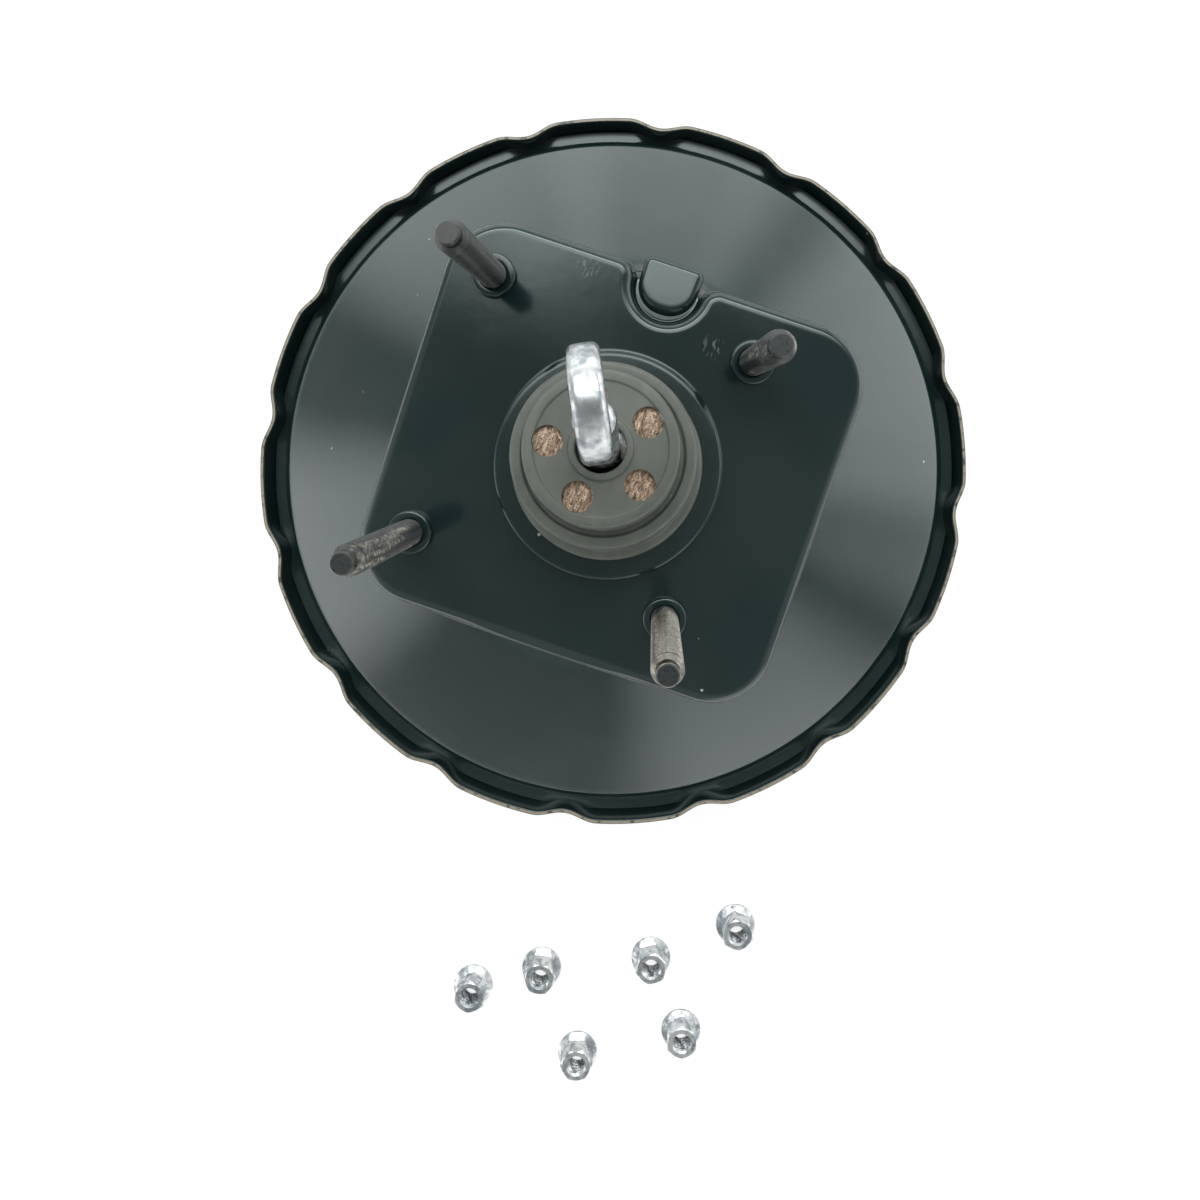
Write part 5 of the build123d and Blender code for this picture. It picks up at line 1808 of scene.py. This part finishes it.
@dataclass
class Studio:
    """Floor, surrounding light and camera."""

    floor_half: float = 3000.0
    floor_gap: float = 0.06
    floor_colour: Colour = (0.86, 0.86, 0.86, 1.0)
    floor_glow: float = 0.72
    lens: float = 18.99
    sensor: float = 36.0
    shift: tuple[float, float] = (-0.0318, -0.1317)
    eye: Corner = (8.0, 3.5, 281.0)
    right: Corner = (0.9473, 0.3203, -0.0001)
    up: Corner = (-0.3202, 0.9468, 0.0323)
    back: Corner = (0.0104, -0.0306, 0.9995)
    low: float = 0.7
    middle: float = 0.95
    overhead: float = 0.42
    band_end: tuple[float, float] = (0.25, 0.62)
    dome: tuple[float, float] = (0.70, 0.93)
    lobes: tuple[Lobe, ...] = (
        Lobe(-44.0, 32.0, 1.9), Lobe(-145.0, 28.0, 2.5), Lobe(140.0, 34.0, 2.3), Lobe(38.0, 34.0, 3.0),
        Lobe(100.0, 28.0, 2.2), Lobe(72.0, 20.0, 1.0), Lobe(5.0, 18.0, 1.0),
    )
    key_azimuth: float = 112.0
    key_half: float = 76.0
    key: float = 6.4
    key_foot: tuple[float, float] = (0.66, 0.80)
    key_head: tuple[float, float] = (0.995, 0.955)
    strip: float = 9.0
    strip_foot: tuple[float, float] = (0.72, 0.74)
    strip_head: tuple[float, float] = (0.82, 0.80)

    def build_floor(self) -> bpy.types.Object:
        """Lays the plain pale floor under the front studs.

        Returns:
            The floor.
        """
        z = DATUM.floor_z - self.floor_gap
        half = self.floor_half
        mesh = bpy.data.meshes.new("floor")
        corners = [(-half, -half, z), (half, -half, z), (half, half, z), (-half, half, z)]
        mesh.from_pydata([tuple(c * MM for c in p) for p in corners], [], [(0, 1, 2, 3)])
        floor = new_object("floor", mesh)
        made = bpy.data.materials.new("pale_floor")
        made.use_nodes = True
        graph = NodeGraph(made.node_tree)
        matt = graph.node("ShaderNodeBsdfDiffuse")
        matt.inputs["Color"].default_value = self.floor_colour
        glow = graph.node("ShaderNodeEmission")
        path = graph.node("ShaderNodeLightPath")
        blend = graph.node("ShaderNodeMixShader")
        graph.feed(blend.inputs[0], graph.sum("MULTIPLY", path.outputs["Is Camera Ray"], self.floor_glow))
        graph.feed(blend.inputs[1], matt.outputs["BSDF"])
        graph.feed(blend.inputs[2], glow.outputs["Emission"])
        out = graph.node("ShaderNodeOutputMaterial")
        graph.feed(out.inputs["Surface"], blend.outputs["Shader"])
        mesh.materials.append(made)
        return floor

    def build_light(self) -> bpy.types.World:
        """Makes the light: dim overhead, soft bright panels near the horizon and one key panel.

        Returns:
            The world that holds it.
        """
        world = bpy.data.worlds.new("studio")
        bpy.context.scene.world = world
        world.use_nodes = True
        graph = NodeGraph(world.node_tree)
        look = graph.node("ShaderNodeTexCoord").outputs["Generated"]
        split = graph.node("ShaderNodeSeparateXYZ")
        graph.feed(split.inputs[0], look)
        height = split.outputs["Z"]
        level = graph.node("ShaderNodeVectorMath", operation="MULTIPLY")
        graph.feed(level.inputs[0], look)
        level.inputs[1].default_value = (1.0, 1.0, 0.0)
        flat = graph.node("ShaderNodeVectorMath", operation="NORMALIZE")
        graph.feed(flat.inputs[0], level.outputs["Vector"])

        def towards(azimuth: float, half: float, strength: float) -> bpy.types.NodeSocket:
            """Brightness of a panel that faces an azimuth, fading out at its half width.

            Args:
                azimuth: Azimuth of its middle, in degrees.
                half: Half its width, in degrees.
                strength: Brightness in its middle.

            Returns:
                The socket with the brightness.
            """
            turn = math.radians(azimuth)
            dot = graph.node("ShaderNodeVectorMath", operation="DOT_PRODUCT")
            graph.feed(dot.inputs[0], flat.outputs["Vector"])
            dot.inputs[1].default_value = (math.cos(turn), math.sin(turn), 0.0)
            return graph.span(dot.outputs["Value"], math.cos(math.radians(half)), 1.0, 0.0, strength)

        total: object = self.low
        for lobe in self.lobes:
            total = graph.sum("ADD", total, towards(lobe.azimuth, lobe.half, lobe.strength))
        rise = graph.span(height, *self.band_end)
        band = graph.sum("MULTIPLY", total, graph.sum("SUBTRACT", 1.0, rise))
        upper = graph.sum("MULTIPLY", graph.span(height, *self.dome, self.middle, self.overhead), rise)
        panel = towards(self.key_azimuth, self.key_half, self.key)
        panel = graph.sum("MULTIPLY", panel, graph.span(height, *self.key_foot))
        panel = graph.sum("MULTIPLY", panel, graph.span(height, *self.key_head))
        strip = graph.sum("MULTIPLY", panel, graph.span(height, *self.strip_foot))
        strip = graph.sum("MULTIPLY", strip, graph.span(height, *self.strip_head))
        strip = graph.sum("MULTIPLY", strip, self.strip / self.key)
        light = graph.sum("ADD", graph.sum("ADD", band, upper), graph.sum("ADD", panel, strip))
        path = graph.node("ShaderNodeLightPath")
        seen = graph.node("ShaderNodeMix", data_type="FLOAT")
        graph.feed(seen.inputs[0], path.outputs["Is Camera Ray"])
        graph.feed(seen.inputs[2], light)
        seen.inputs[3].default_value = 1.0
        sky = graph.node("ShaderNodeBackground")
        graph.feed(sky.inputs["Strength"], seen.outputs[0])
        out = graph.node("ShaderNodeOutputWorld")
        graph.feed(out.inputs["Surface"], sky.outputs["Background"])
        return world

    def build_camera(self) -> bpy.types.Object:
        """Sets the camera where the photograph was taken from.

        Returns:
            The camera.
        """
        data = bpy.data.cameras.new("camera")
        data.lens = self.lens
        data.sensor_width = self.sensor
        data.shift_x, data.shift_y = self.shift
        data.clip_start = 0.01
        data.clip_end = 20.0
        camera = bpy.data.objects.new("camera", data)
        bpy.context.scene.collection.objects.link(camera)
        x, y, z = Vector(self.right), Vector(self.up), Vector(self.back)
        place = Vector(self.eye) * MM
        camera.matrix_world = Matrix(
            [(x[k], y[k], z[k], place[k]) for k in range(3)] + [(0.0, 0.0, 0.0, 1.0)]
        )
        bpy.context.scene.camera = camera
        return camera

    def build(self) -> None:
        """Makes the whole studio."""
        bpy.context.scene.view_settings.view_transform = "Standard"
        self.build_floor()
        self.build_light()
        self.build_camera()


def main() -> None:
    """Builds and dresses the booster in order."""
    logging.basicConfig(level=logging.INFO, format="%(name)s: %(message)s")
    RearShell().build()
    FrontShell().build()
    DustBoot().build()
    FeltHairs().build()
    Studs().build()
    PedalRod().build()
    FlangeNuts().build()
    Inside().build()
    Studio().build()


if __name__ == "__main__":
    main()
